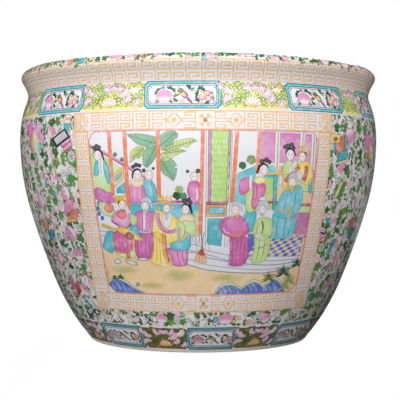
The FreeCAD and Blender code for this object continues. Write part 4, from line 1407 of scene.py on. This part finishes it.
# the seated lady
pink, pale = hue(206, 96, 166), hue(228, 160, 206)
wash(19, pink, pale, "-37,111 -30,113 -17.5,112 -16.5,99 -19,95 -30,95 -34,101")
pleats(21, hue(160, 62, 130), 0.5, (0, 5, 10), "-31.5,110 -31,103 -29.5,96.5")
wash(22, hue(76, 186, 204), hue(120, 206, 220), "-33,117 -27,120 -20,121 -15,128.5 -13.5,121 -15,112 "
     "-23,110.5 -32,112")
wash(23, hue(186, 216, 138), hue(214, 234, 176), "-27.5,137 -22,141.5 -14,141 -8.6,138 -7.6,129 -12,124 "
     "-18.5,128 -22,121.5 -26,123.5 -25.6,131")
fold(25, hue(120, 160, 90), 0.6, "-23,139 -19,134 -20,126")
fold(25, hue(200, 180, 200), 1.8, "-19.5,130 -16.5,126 -15.5,122")
wash(25, hue(240, 200, 152), hue(248, 226, 190), "-26,141 -21,145.8 -14,146.5 -9.4,142 -12,139 -18,140.5 "
     "-24,138.5")
face(-19, 151.2, 7.8, 9.6, -0.4, layer=25, knots=((-1.0, 8.2, 2.4), (3.0, 9.2, 2.4), (5.0, 6.6, 2.2)))
fold(25, INK, 1.9, "-14.4,157 -13.4,151 -12.4,147")
fold(20, hue(240, 222, 90), 1.8, "-8.4,149 -7.6,140 -6.8,128")
# the child
wash(19, hue(208, 92, 166), hue(228, 150, 204), "-17.2,170 -15,177.4 -10.4,178.6 -6,177 -4.8,168 -5.4,157.5 "
     "-12,157 -15.4,163")
fold(21, hue(226, 226, 234), 1.8, "-8.4,171 -7.4,166 -8.0,160")
face(-10.6, 183, 7.8, 9.0, 0.3, layer=22, hair=hue(224, 222, 230), knots=((-6.4, 4.8, 1.7), (3.6, 5.2, 2.3)))
print("strokes on the picture:", len(picture.parts))

# %% The figures on the right
pink, pale = hue(206, 96, 166), hue(224, 140, 196)
wash(20, pink, pale, "14.6,137 18,142 25,144 34,145 39.5,141 43.5,133 43,127.5 36,124.5 27,123.5 19,126.5 "
     "15,132")
wash(20, hue(200, 84, 160), hue(214, 118, 180), "25.5,124 38,124.5 43,121 43.5,108 41,97.5 33,94.5 "
     "24.5,96.5 25.5,110")
pleats(22, hue(156, 56, 126), 0.5, (0, 4, 8, 12), "28.5,122 27.5,110 27.5,97.5")
fold(22, hue(156, 56, 126), 0.5, "20,139 22,133 27,128")
fold(22, hue(238, 190, 222), 1.2, "18,133 20,129 24,127.6")
fold(23, hue(222, 164, 72), 1.8, "24,127 30,125 37,126.6", "25.5,145.4 30,142.6 34.5,146.6")
face(29.6, 151, 8.4, 9.6, 0.0, hair=hue(228, 228, 236))
headcloth(30, 154.6, 8.8)
fold(25, hue(226, 226, 234), 2.4, "36,156 38.6,151 38,146")
fold(18, hue(190, 196, 206), 1.4, "22,95.5 32,93.8 44,95.5")
# the pair: white hat, lime robe
lime, pale_lime = hue(190, 218, 132), hue(212, 232, 166)
wash(20, lime, pale_lime, "49,138 54,142.5 62,143 67.5,139 68,128 63,122 56,120 49,124 47.5,131")
wash(20, lime, pale_lime, "49.5,126 57,125 64,124 65.5,112 61.5,100 54,97 46.5,98.5 49.5,110")
fold(22, hue(120, 156, 84), 0.6, "57,140 58.5,133 56,126", "53,138 51.5,131 51,125", "55,121 54,110 52,100",
     "60,120 59.5,110 57,100")
fold(23, hue(60, 60, 66), 0.9, "56.8,139 57.8,132 57,127")
wash(23, hue(210, 190, 214), hue(236, 224, 238), "50.5,126 54,127.5 56.5,125 54.5,122.5 51,123", line=False)
fold(22, GREY, 1.2, "53,112.5 58,113 63,117")
face(56.4, 150.4, 8.2, 9.4, 0.0, hair=hue(210, 212, 222), beard=3.6)
headcloth(56.8, 155.6, 8.6)
wash(27, hue(216, 218, 226), WHITE, "53,160.5 55,163 58.5,163 60,160.5 56.5,159.4")
# the man in turquoise
blue, pale_blue = hue(104, 198, 214), hue(138, 212, 226)
wash(21, blue, pale_blue, "78,169 83,170 87,168 94,175 98.4,168 97.6,156 93,147 86,142 76,142 69,145 69,152 "
     "73,160")
wash(20, blue, pale_blue, "68,147 78,148 89,147 92.5,138 90,127 85,122 76,121 66.5,122.5 67.5,134")
fold(23, hue(40, 128, 150), 0.6, "82,166 80,158 78,150", "91,168 90,158 88,149", "74,144 72,134 72,124",
     "82,142 80,132 79,123", "88,140 86,132 84,124")
fold(24, hue(240, 178, 84), 2.0, "74,153 76.5,149 82,149.4", "86,154 85,147 84.2,141")
fold(24, hue(222, 164, 72), 1.8, "81.4,174 86,170 92.4,175.4")
face(86.6, 177.6, 8.6, 9.8, -0.2, hair=hue(196, 198, 208), beard=2.2)
headcloth(88, 182, 9.2)
wash(25, hue(210, 212, 220), WHITE, "90,185 92.5,188.5 96.5,186 96.5,180.5 93.5,179")
# the lady with the pink sleeves
wash(20, lime, pale_lime, "40.5,169 47,171 52,165 54,153 47,148.5 41,149 39.5,158")
wash(19, hue(72, 182, 200), hue(110, 202, 216), "38,149 50,149 49,136 45.5,128 42,134")
wash(22, hue(216, 96, 160), hue(232, 142, 192), "33,175 36,181 43,182 45,176 41.5,168 34.5,166")
wash(22, hue(216, 96, 160), hue(232, 142, 192), "47,177 53,176 59,175 58.4,166 53,158 48.5,151 45.5,156 "
     "46.5,166")
fold(24, hue(160, 60, 120), 0.6, "50,174 50.5,165 48.5,156")
fold(24, WHITE, 2.8, "45.5,184 44.2,178 45,171")
fold(25, GREY, 0.6, "46.5,184 45.4,178 46,171")
wash(24, hue(246, 220, 96), hue(250, 238, 150), "48,180.5 52,183 58,182 58.4,177.5 53,176 48.5,177")
fold(26, WHITE, 1.4, "49.5,178.5 53.5,180.5 57.5,178")
face(57.2, 189.6, 8.8, 10.6, 0.3, knots=((-2.0, 8.0, 2.4), (2.4, 9.4, 2.6), (5.4, 7.6, 2.2)))
fold(24, INK, 1.8, "52.4,194 51.2,189 50,186")
# the lady and the youth at the back
fold(22, hue(202, 110, 92), 4.2, "79,178 86,186 94,193")
wash(21, lime, pale_lime, "76,186 78,196 82,199.5 87,197 91.5,199.5 92,190 88,183 80,181")
fold(23, WHITE, 2.2, "83,198 86,192 84,187", "90,198 87,192 88,188")
fold(24, GREY, 0.5, "83.5,197 86.8,191.5 84.8,186")
face(84, 204.6, 8.6, 11.2, 0.2, knots=((-5.2, 7.4, 2.4), (-2.2, 8.6, 2.4), (1.6, 9.6, 2.4), (3.8, 6.6, 1.8)))
fold(24, INK, 1.4, "88.2,209 88.8,205.5 90.4,203.6")
wash(21, hue(246, 216, 92), hue(250, 234, 140), "90,191 94,196 101,198.5 106,194 108.6,184 104.5,175 "
     "97.5,177 91,183")
fold(23, hue(196, 112, 90), 4.4, "101.4,194 101,186 98.5,179")
fold(24, hue(160, 84, 66), 0.7, "103,194 103,186 100.5,178.5")
face(96.8, 203, 7.8, 9.8, -0.2)
gold_crown(99.4, 208.8, 9.4)
fold(25, GOLD, 1.6, "93,207 91,205.4", "103.5,206 105.5,204")
wash(20, hue(244, 190, 88), hue(250, 216, 120), "77,172 81.5,173 81.5,184 77.5,185")
wash(20, hue(220, 206, 222), hue(236, 226, 238), "72.5,175 76,175 76.4,184 73.4,184")
wash(20, TURQUOISE, hue(110, 202, 216), "104.5,168 107.6,168 108,180 105,180")
print("strokes on the picture:", len(picture.parts))

# %% The broom, the border line and the fired pictures
wash(23, hue(214, 214, 222), WHITE, "-11.5,121 -9.5,127.5 -6,124 -3,129 0.6,127 1.4,119.6 -4,117")
for line in ("-9,125 -8,120", "-5,124 -5.4,118.6", "-1,127 -2,119"):
    picture.brush(straight(line), 0.5, INK, 25)
fold(24, INK, 0.8, "-3.4,129 -2.6,120 -2.4,110")
for number, (x, z) in enumerate(((-11, 98.5), (-9, 97), (-6.4, 96), (-4, 95.6), (-1.6, 95.4), (0.6, 95.6),
                                 (2.4, 96.6))):
    picture.petal((-2.4, 113), (x, z), 3.2, hue(190, 100, 60), 24 + number % 2, middle=hue(244, 214, 176),
                  count=5)
    picture.petal((-2.4, 113), ((x - 2.4) / 2, (z + 113) / 2), 1.6, hue(196, 84, 50), 27, count=4)
pleats(18, hue(130, 130, 142), 0.5, (-8, -2, 4), "-2,121 0,116 1,110")


def notch(sign, end):
    """The picture's corner: two scoops, from the short side to the long one."""
    z, up = INNER[end], 1 if end == "top" else -1
    offsets = [(0, 9.4), (0.9, 6.6), (2.6, 4.9), (3.1, 2.9), (5.0, 1.4), (7.4, 0.0)]
    marks = [(panel_edge(sign, z - up * dz, INNER) - sign * dx, z - up * dz) for dx, dz in offsets]
    return marks, (panel_edge(sign, z, INNER), z)


def side_marks(sign):
    """The picture's long side, from its lower notch to its upper one."""
    climb = np.linspace(INNER["low"] + 9.4, INNER["top"] - 9.4, 48)[1:-1]
    return [(panel_edge(sign, z, INNER), z) for z in climb]


def trimmed(board, box):
    """The same drawing with all that lies outside the box pulled back to its edge."""
    points, faces, colours = board.merged()
    edge = panel_edge(1, points[:, 1], box)
    inside = (np.abs(points[:, 0]) <= edge)[faces].any(1)
    cut = Board()
    across = np.clip(points[:, 0], -edge, edge)
    cut.parts.append((np.stack([across, np.clip(points[:, 1], box["low"], box["top"]), points[:, 2]], 1),
                      faces[inside], colours))
    return cut


PINK_LINE = hue(226, 130, 150)
picture = trimmed(picture, INNER)
corners = {}
for sign in (-1, 1):
    for end in ("low", "top"):
        scoop, tip = notch(sign, end)
        corners[sign, end] = scoop
        area(28, WHITE, scoop, [tip] * len(scoop), columns=14)
loop = (corners[-1, "top"] + corners[1, "top"][::-1] + side_marks(1)[::-1]
        + corners[1, "low"] + corners[-1, "low"][::-1] + side_marks(-1))
apart = [point for number, point in enumerate(loop)
         if number == 0 or np.hypot(*(np.array(point) - loop[number - 1])) > 0.2]
picture.brush(straight(apart, closed=True), 0.9, PINK_LINE, 30, closed=True)

front_art, back_art = Enamel(), Enamel()
front_art.lay_front(picture, FRONT)
mirrored = Board()
mirrored.place(picture, mirror=-1)
back_art.lay_front(mirrored, BACK)
front_art.make("front_court_scene", "picture_enamel", "front_picture")
back_art.make("back_court_scene", "picture_enamel", "back_picture")

# %% [markdown]
# ## The flower ground
# Leaves, blooms and butterflies fill every place that the bands and pictures leave. We
# set motifs on a jittered grid round the bowl and let the frames cover what runs under
# them. Between them lie the scholar's antiques: jars, books, slabs and boxes.

# %% The antiques
@drawing
def slab(board, cover=INK):
    """A thick dark frame round a pale tablet."""
    page = hue(206, 208, 214)
    board.panel("-9.4,-5.4 9.4,-5.4 9.4,5.4 -9.4,5.4", cover, 10)
    board.panel("-6.8,-3.0 7.4,-3.0 7.4,3.6 -6.8,3.6", page, 11)
    for y in (-1.2, 1.0):
        board.bar((-5.4, y), (5.4, y), 0.5, page * 0.5, 12)


def stretched(drawing, by, turn=0.0):
    """The same drawing, turned and then wider. It is for places that turn away from the viewer."""
    board, side, up = Board(), math.cos(math.radians(turn)), math.sin(math.radians(turn))
    through(board, drawing, lambda x, y: ((x * side - y * up) * by, x * up + y * side))
    return board


@drawing
def ring_vase(board):
    """Two hooped rings over a turquoise cup."""
    for y, wide, tall in ((7.4, 4.4, 3.0), (2.2, 6.2, 2.6)):
        board.blob(oval(0, y, wide, tall), hue(216, 168, 80), 9)
        board.blob(oval(0, y, 0.72 * wide, 0.6 * tall), hue(228, 226, 232), 10)
    board.panel("-3.0,-6.5 3.0,-6.5 5.6,-0.6 -5.6,-0.6", TURQUOISE, 8, line=TEAL)


@drawing
def stack(board, top=hue(228, 140, 188), middle=SALMON, low=YELLOW):
    """A bundle of books: a rose cover, a salmon spine and a ribbed yellow band."""
    board.panel("-8,-6 1,-3 5,9 -4,7", top, 9, line=hue(170, 80, 130))
    board.panel("-4,-11 6,-8 8.5,1 0,-2.4", middle, 10, line=hue(150, 80, 60))
    board.panel("-6.5,-14.5 5,-11.6 6,-8 -4.6,-10.8", low, 10, line=hue(150, 80, 60))
    for x in (-4, -1.6, 0.8, 3.2):
        board.bar((x, -13.4 + 0.25 * x), (x + 0.9, -10.6 + 0.25 * x), 0.7, hue(170, 100, 60), 12)


@drawing
def box_pair(board):
    """A salmon box with turquoise sides over a teal one, a cream lid and a bloom."""
    board.panel("-8.4,1 -5.6,-1 -5.6,13 -8.4,12", TURQUOISE, 9, line=TEAL)
    board.panel("4.6,3 7.6,1.4 7.6,15 4.6,16", TURQUOISE, 9, line=TEAL)
    board.panel("-6.0,-1.4 4.8,2.6 4.8,15.8 -6.0,13", hue(222, 128, 96), 10, line=hue(120, 60, 40))
    board.panel("-3.6,-9 7.4,-6.4 8.4,3.4 -2.8,-1.2", hue(76, 180, 196), 10, line=TEAL)
    board.panel("-5.2,-12 8.6,-8.6 8.8,-6.6 -4.8,-9.8", hue(240, 232, 180), 11, line=hue(120, 110, 60))
    for x, y in ((-1, -15), (3.4, -14), (1, -18.4)):
        board.dot((x, y), 3.0, hue(214, 110, 168), 10, middle=hue(240, 178, 210))


@drawing
def lozenge(board):
    """A yellow tile with a red-brown mark."""
    board.panel("-7.4,-3.4 4.6,-5 7.4,2.4 -3.4,6", hue(246, 220, 130), 10, line=hue(140, 90, 40))
    board.panel("-2.6,-1.8 1.8,-2.6 3.0,1 -1,2", hue(170, 70, 40), 12)


@drawing
def leaf_fan(board):
    """A round green fan with a mauve heart of dots."""
    board.blob(oval(0, 0, 8, 8.6, 12), hue(62, 146, 44), 9, line=hue(30, 90, 34))
    board.blob(oval(0, 0, 5.4, 6.0, 12), hue(206, 214, 190), 11, middle=hue(226, 206, 226))
    for number in range(12):
        turn, reach = number * 2.4, (number / 12) ** 0.5
        board.dot((3.6 * math.cos(turn) * reach, 4.4 * math.sin(turn) * reach), 0.8, hue(150, 84, 150), 12)
    for side in range(8):
        c, s = math.cos(side * 0.785), math.sin(side * 0.785)
        board.petal((5.6 * c, 6.2 * s), (7.6 * c, 8.2 * s), 1.0, hue(180, 220, 140), 11, count=4)


@drawing
def long_book(board):
    """A narrow closed book with cream leaves."""
    board.panel("-1.5,-12 3.4,-9 6.5,12 1.8,11", hue(70, 146, 60), 10, line=hue(30, 84, 40))
    board.panel("-4.6,-10 -1.5,-12 1.8,11 -1.6,11", hue(240, 214, 150), 10, line=hue(150, 110, 70))


@drawing
def rod(board, colour=hue(76, 170, 184)):
    """A narrow turquoise scroll."""
    board.panel("-2.0,-9 1.4,-9.6 3.2,9 -0.4,9.4", colour, 10, line=TEAL)


@drawing
def block(board):
    """A rose block with striped sides."""
    board.panel("-8,-5.4 2.4,-7.6 8.6,2.2 -1.4,5.4", hue(236, 160, 196), 9, line=hue(150, 70, 110))
    board.panel("-8,-5.4 2.4,-7.6 3.6,-5.6 -6.8,-3.4", hue(186, 90, 110), 11)
    board.panel("-5.4,-1.2 4.8,-3.4 6.0,-1.4 -4.2,0.8", hue(186, 100, 120), 11)


@drawing
def tile(board, colour):
    """A small square plaque."""
    board.panel("-5,-5.6 4,-4.6 5.4,5.8 -3.6,5", colour, 9, line=TEAL)


@drawing
def tall_blooms(board):
    """Rose and magenta petals that droop over cream, russet and turquoise."""
    for root, tip, wide, colour in (((-3, -4), (-7, 15), 9.5, hue(206, 100, 164)),
                                    ((2, 2), (7, 13), 8.5, hue(226, 146, 192)),
                                    ((6, 6), (9.6, -5), 6.0, hue(222, 130, 184)),
                                    ((-6, 2), (-3, -16), 8.0, hue(176, 110, 80)),
                                    ((-1, 6), (0, -12), 8.0, hue(226, 212, 150)),
                                    ((3, 0), (3, -15), 5.0, hue(190, 206, 150)),
                                    ((5.5, -4), (6, -14), 4.0, TURQUOISE)):
        board.petal(root, tip, wide, colour, 8, bend=0.08, middle=np.minimum(colour * 1.5 + 0.06, 0.9),
                    count=8)


@drawing
def rose_curls(board):
    """Pink and mauve ruffles, each a curled petal."""
    for x, y, turn in ((-4, 6, 0.5), (2, 8, 1.6), (-1, 1, 2.6), (4, 0, 0.0), (-3, -6, 4.0), (3, -7, 5.2)):
        tip = (x + 4.6 * math.cos(turn), y + 4.6 * math.sin(turn))
        board.petal((x, y), tip, 4.2, hue(168, 84, 130), 7, bend=0.2, count=6)
        board.petal((x, y), tip, 3.2, hue(226, 140, 190), 8, bend=0.2, middle=hue(244, 196, 220), count=6)


@drawing
def black_twig(board):
    """Two dark crossing strokes."""
    for marks in (((-6, 3), (-1, -1), (5, -3.4)), ((-2, 4.4), (-0.4, 1), (1, -1.6))):
        board.brush(smooth(marks, 8), 1.0, INK, 8)


ROSES, PEONY, TILE, BOOKS = rose_curls(), pale_peony(), tile(TURQUOISE), stack()
# each row: what, angle, height, turn in degrees, size
ANTIQUES = [
    (ring_vase(), -40.2, 237, -4, 1.0), (stretched(slab(), 1.35, 32), -43.0, 222.5, 0, 1.05),
    (stretched(block(), 1.3, 44), -40.8, 217, 0, 1.1), (leaf_fan(), -38.6, 203.5, 0, 0.95),
    (stretched(tall_blooms(), 1.8), -57.5, 226, -6, 1.1), (slab(hue(120, 124, 130)), -57.0, 201, 52, 0.62),
    (ROSES, -50, 172, 20, 1.0), (TILE, -52.5, 176, 10, 0.5), (TILE, -48.5, 166, 10, 0.5),
    (stretched(BOOKS, 1.25), -42.2, 151, -6, 1.15), (black_twig(), -39.6, 127, 60, 0.9),
    (stretched(tile(hue(222, 140, 110)), 1.6), -60, 133, 16, 1.1),
    (stretched(tile(hue(60, 150, 166)), 1.6), -58.0, 121.5, 16, 1.0), (ROSES, -57.2, 110, 0, 0.7),
    (PEONY, -44, 103, 8, 1.0), (ROSES, -40.5, 100, 40, 0.8),
    (stretched(stack(hue(214, 110, 166), hue(190, 110, 90), hue(150, 90, 80)), 1.3), -53, 70, 24, 1.0),
    (PEONY, -47, 64, -20, 1.0), (rod(), -48, 50, 36, 0.8),
    (stretched(slab(), 1.5, 50), -49.0, 40.5, 0, 0.62), (tall_blooms(), -47, 186, 180, 0.5),
    (STOCK["butterfly"], -46, 128, 0, 0.9), (stretched(lozenge(), 1.3), 42.6, 222, 10, 1.0),
    (stretched(box_pair(), 1.45), 45.4, 208, 4, 1.0), (ROSES, 47, 232, 0, 0.7),
    (stretched(long_book(), 1.7), 47.0, 170, -10, 0.82), (ROSES, 45.6, 155, 0, 1.0),
    (ring_vase(), 44.4, 141, 4, 0.85), (PEONY, 47.8, 136, 0, 0.8), (slab(), 42.6, 129, -16, 0.75),
    (block(), 43.8, 121, 20, 0.8), (leaf_fan(), 44.8, 110, 0, 0.85),
    (stretched(rod(), 1.6), 50, 110, -12, 1.0), (stretched(tall_blooms(), 1.8), 66, 216, 6, 1.1),
    (stretched(tile(hue(206, 110, 84)), 1.5), 60.5, 134, -14, 1.1),
    (stretched(tile(hue(60, 150, 160)), 1.5), 62.5, 122, -14, 1.0), (tall_blooms(), 57, 92, 0, 0.7),
    (rod(), 46.5, 54, -8, 1.1), (ROSES, 50, 72, 0, 0.8), (ROSES, 62, 72, 0, 0.9),
    (rod(hue(90, 170, 180)), 52.5, 88, -8, 0.6)]
SPECIAL = [
    (black_twig(), -19.2, 38.5, -10, 1.1), (TILE, 6.9, 37.6, 0, 0.5), (ROSES, 5.8, 42, 0, 0.5),
    (PEONY, 10.6, 38.2, 0, 0.95), (PEONY, -14.4, 38.4, 0, 0.8), (fan_bloom(), -28, 40, 1.2, 0.9),
    (line_flower(), -4.0, 38, 0, 0.9), (line_flower(), 24.5, 40, 0, 1.0), (PEONY, 27.5, 36.6, 20, 0.7)]
print("antiques:", len(ANTIQUES), "small pieces under the picture:", len(SPECIAL))


# %% Scatter
def outside_panels(angle, height, margin):
    """True where a place lies outside both framed pictures by at least the margin."""
    free = np.ones(len(angle), bool)
    for middle in (FRONT, BACK):
        swing = (angle - middle + 180) % 360 - 180
        across = np.abs(radius_at(along_at(height)) * np.sin(np.radians(np.clip(swing, -90, 90))))
        half = panel_edge(1, np.clip(height, PANEL["low"], PANEL["top"]), PANEL)
        free &= ~((np.abs(swing) < 90) & (across < half + margin) & (height > PANEL["low"] - margin)
                  & (height < PANEL["top"] + margin))
    return free


def scatter(low, top, gap, margin=-1.5):
    """A grid of places, each moved by chance within its cell: angle, along."""
    first, last = along_at(low), along_at(top)
    rows = max(1, int(round((last - first) / gap)))
    angles, heights = [], []
    for row in range(rows):
        along = first + (row + 0.5) * (last - first) / rows
        count = int(round(2 * np.pi * radius_at(along) / gap))
        spot = np.arange(count) + 0.5 * (row % 2) + chance.uniform(-0.36, 0.36, count)
        angles.append(spot * 360 / count)
        heights.append(along + chance.uniform(-0.36, 0.36, count) * (last - first) / rows)
    angle, along = np.concatenate(angles), np.concatenate(heights)
    keep = outside_panels(angle, np.interp(along, along_line[:crown], glazed[:crown, 1]), margin)
    return angle[keep], along[keep]


def strew(where, motif, places, sizes, tints, rise=0):
    """Lays a motif at each place, turned, sized, mirrored and tinted by chance."""
    angle, along = places
    if len(angle) == 0:
        return
    count = len(angle)
    tint = 1 + chance.uniform(-tints, tints, (count, 1)) + chance.uniform(-0.06, 0.06, (count, 3))
    where.lay(motif, angle, along, chance.uniform(-np.pi, np.pi, count), chance.uniform(*sizes, count),
              chance.choice([-1, 1], count), tint, rise)


def shared(places, shares):
    """Deals places out to several motifs by chance."""
    dealt = chance.choice(len(shares), len(places[0]), p=np.array(shares) / sum(shares))
    return [(places[0][dealt == n], places[1][dealt == n]) for n in range(len(shares))]


FIELD = (30.8, 248.2)
under, leaves, blooms = Enamel(), Enamel(), Enamel()
FAINT = [frond(hue(172, 192, 172)), frond(hue(150, 178, 150)), scribble(), scribble(hue(176, 128, 150)),
         scribble(hue(120, 130, 110))]
for motif, group in zip(FAINT, shared(scatter(FIELD[0] - 1, FIELD[1] + 1, 7.4), (2.4, 2.2, 2, 1.4, 1))):
    strew(under, motif, group, (0.7, 1.05), 0.12)
GROWTH = [sprig(GREENS[0]), sprig(GREENS[1]), sprig(GREENS[3], 4), tuft(GREENS[0]), tuft(GREENS[1]),
          ivy(GREENS[0]), ivy(GREENS[0] * (1.3, 1.15, 0.9)), ivy(GREENS[1])]
for number, group in enumerate(shared(scatter(FIELD[0] - 2, FIELD[1] + 1, 12.2),
                                      (1.6, 1.6, 1, 1, 1, 1.8, 1.8, 1.2))):
    strew(leaves, GROWTH[number], group, (0.8, 1.25), 0.16, rise=number % 3)
BLOOMS = [STOCK["blossom"], STOCK["white_blossom"], line_flower(), STOCK["fan"], STOCK["twig"],
          STOCK["butterfly"]]
for number, group in enumerate(shared(scatter(FIELD[0], FIELD[1] - 2, 12.4), (1.5, 2.4, 3.4, 1.1, 2.2, 0.5))):
    strew(leaves if number in (3, 4) else blooms, BLOOMS[number], group, (0.75, 1.25), 0.12)
strew(blooms, PEONY, scatter(FIELD[0] + 14, FIELD[1] - 10, 52.0, 8.0), (0.8, 1.15), 0.06, rise=1)
relics = Enamel()
for pieces, rise in ((ANTIQUES, 0), (SPECIAL, 2)):
    for motif, angle, height, turn, size in pieces:
        for half in (0, 180):
            relics.lay(motif, angle + half, along_at(height), math.radians(turn), size, rise=rise)
under.make("pale_ground", "flower_enamel", "flower_ground")
leaves.make("leaf_field", "flower_enamel", "flower_ground")
blooms.make("bloom_field", "flower_enamel", "flower_ground")
relics.make("antiques", "flower_enamel", "flower_ground")

# %% [markdown]
# ## The lip
# Above the fret the flower ground goes on in a narrow strip that curves over the lip.
# The curve is tight there, so the same motifs are laid smaller.

# %% Lip flowers
lip = Enamel()
lip_low, lip_top = along_at(297.2), along_line[crown - 1]
lip.add(*ring_band(lip_low, lip_top, hue(214, 213, 218), 1))
LIP_COUNT = 420
lip_angles = np.arange(LIP_COUNT) * 360 / LIP_COUNT + chance.uniform(-0.5, 0.5, LIP_COUNT)
lip_places = (lip_angles, lip_low + 4.0 + chance.uniform(-3.2, 4.6, LIP_COUNT))
for number, group in enumerate(shared(lip_places, (3, 3, 1, 2))):
    motif = [sprig(GREENS[0]), tuft(GREENS[1]), scribble(), STOCK["blossom"]][number]
    strew(lip, motif, group, (0.6, 0.95), 0.15, rise=14)
for motif, angle, rise_by, turn, size in ((tile(hue(232, 150, 120)), -39.4, 3.4, 0.1, 0.85),
                                          (TILE, -35.2, 3.2, 0, 0.85), (tile(LEMON), -31.6, 3.6, 0.2, 0.5),
                                          (ROSES, -24, 4.0, 1.2, 0.7),
                                          (STOCK["butterfly"], -15, 3.6, 0.4, 0.8),
                                          (ROSES, 2.6, 3.2, 0.3, 0.55), (TILE, 1.6, -0.6, 0, 0.42),
                                          (ROSES, 5.6, -0.4, 2.0, 0.3), (PEONY, 39, 3.4, 0, 0.75),
                                          (tuft(GREENS[1]), 42.4, 3.0, -0.4, 0.8), (PEONY, 14, 4.6, 0, 0.5),
                                          (PEONY, -72, 3.6, 0, 0.9), (tuft(GREENS[1]), -78, 3.4, 0.4, 0.9),
                                          (tile(hue(240, 150, 60)), 66, 3.0, 0, 0.4),
                                          (ROSES, 24, 4.4, 0.7, 0.6),
                                          (STOCK["butterfly"], 52, 3.6, 0.4, 0.8),
                                          (ROSES, -56, 4.0, 0.7, 0.8)):
    lip.lay(motif, angle + np.arange(0, 360, 120), lip_low + rise_by, turn, size, rise=17)
lip.make("lip_flowers", "flower_enamel", "lip_flower_band")

# %% [markdown]
# ## Light and camera
# A studio lights china with large soft boxes, because gloss shows every lamp. A strong
# lamp would burn the white out, so the boxes are wide and dim, and the backdrop gets its
# white from the world as the camera sees it and not from more light on the bowl.

# %% Camera, lamps, floor and backdrop
camera_data = bpy.data.cameras.new("camera")
camera_data.lens, camera_data.sensor_width = 85.30, 36.0
camera = bpy.data.objects.new("camera", camera_data)
camera.location = (0.0, -1.11355, 0.17011)
DOWN, ASIDE = 0.618, -0.103
camera.rotation_euler = (math.radians(90 - DOWN), 0.0, math.radians(ASIDE))
bpy.context.scene.collection.objects.link(camera)
bpy.context.scene.camera = camera


def soft_box(name, place, aim, size, watts):
    """An area lamp that looks at a point."""
    lamp = bpy.data.lights.new(name, "AREA")
    lamp.shape, lamp.size, lamp.size_y, lamp.energy = "RECTANGLE", *size, watts
    box = bpy.data.objects.new(name, lamp)
    box.location = place
    toward = np.array(place) - np.array(aim)
    level = math.hypot(toward[0], toward[1])
    box.rotation_euler = (math.atan2(level, toward[2]), 0.0, math.atan2(toward[0], -toward[1]))
    bpy.context.scene.collection.objects.link(box)
    return box


FRONT_AIM, BACK_AIM = (0, -0.15, 0.25), (0, 0.15, 0.2)
soft_box("left_box", (-0.76, -1.06, 1.52), FRONT_AIM, (1.1, 1.1), 7.7)
soft_box("right_box", (0.60, -1.12, 1.52), FRONT_AIM, (1.0, 0.9), 9.5)
soft_box("back_box", (0.1, 1.35, 1.3), BACK_AIM, (1.4, 0.9), 22)

# %% A world that is white to the camera and fades from one side to the other for the bowl
world = bpy.data.worlds.new("studio")
bpy.context.scene.world = world
world.use_nodes = True
TOWARD_DIM = (0.22, 0.92, 0.34)
nodes, join = world.node_tree.nodes, world.node_tree.links.new
paths, dim, bright, choose, sight, lean_to, fade = (nodes.new(f"ShaderNode{kind}") for kind in (
    "LightPath", "Background", "Background", "MixShader", "TexCoord", "VectorMath", "MapRange"))
lean_to.operation = "DOT_PRODUCT"
lean_to.inputs[1].default_value = TOWARD_DIM
for key, value in (("From Min", -1.0), ("From Max", 0.1), ("To Min", 2.32), ("To Max", 0.06)):
    fade.inputs[key].default_value = value
for shade in (dim, bright):
    shade.inputs["Color"].default_value = (1, 1, 1, 1)
bright.inputs["Strength"].default_value = 1.0
join(sight.outputs["Generated"], lean_to.inputs[0])
join(lean_to.outputs["Value"], fade.inputs["Value"])
join(fade.outputs[0], dim.inputs["Strength"])
join(paths.outputs["Is Camera Ray"], choose.inputs[0])
join(dim.outputs[0], choose.inputs[1])
join(bright.outputs[0], choose.inputs[2])
join(choose.outputs[0], nodes["World Output"].inputs[0])

# %% The floor, and black cards that only the glaze can see
def flat_sheet(name, corners, finish):
    """Four corners in metres, as one flat face with the given finish."""
    mesh = bpy.data.meshes.new(name)
    mesh.from_pydata(corners, [], [(0, 1, 2, 3)])
    mesh.materials.append(finish.material)
    sheet = bpy.data.objects.new(name, mesh)
    bpy.context.scene.collection.objects.link(sheet)
    return sheet


FLOOR_GREY, FLOOR_GLOW, BELOW = 0.36, 1.09, -0.0002
pale_floor = Finish("pale_floor", Roughness=0.9)
pale_floor.shader.inputs["Base Color"].default_value = (FLOOR_GREY, FLOOR_GREY, FLOOR_GREY, 1)
pale_floor.shader.inputs["Specular IOR Level"].default_value = 0.1
glow = pale_floor.node("ShaderNodeEmission", None, {"Color": (1, 1, 1, 1), "Strength": FLOOR_GLOW})
seen = pale_floor.node("ShaderNodeLightPath", None, None)
both = pale_floor.node("ShaderNodeMixShader", None, {0: seen * 0.9})
pale_floor.links.new(pale_floor.shader.outputs[0], both.socket.node.inputs[1])
pale_floor.links.new(glow.socket, both.socket.node.inputs[2])
pale_floor.links.new(both.socket, pale_floor.nodes["Material Output"].inputs[0])
flat_sheet("floor", [(-3, -3, BELOW), (3, -3, BELOW), (3, 3, BELOW), (-3, 3, BELOW)], pale_floor)

black_card = Finish("black_card", Roughness=0.9)
black_card.shader.inputs["Base Color"].default_value = (0.01, 0.01, 0.01, 1)
for name, corners in (
        ("right_flag", ((0.15, -0.27, 0), (0.31, -0.06, 0), (0.31, -0.06, 0.08), (0.15, -0.27, 0.08))),
        ("left_card", ((-0.75, -0.40, 0), (-0.15, -0.40, 0), (-0.15, 0.6, 0), (-0.75, 0.6, 0))),
        ("right_card", ((0.15, -0.40, 0), (0.75, -0.40, 0), (0.75, 0.6, 0), (0.15, 0.6, 0))),
        ("back_card", ((-0.15, 0.14, 0), (0.15, 0.14, 0), (0.15, 0.6, 0), (-0.15, 0.6, 0)))):
    card = flat_sheet(name, corners, black_card)
    card.visible_camera = card.visible_shadow = False
bpy.context.scene.view_settings.view_transform = "Standard"
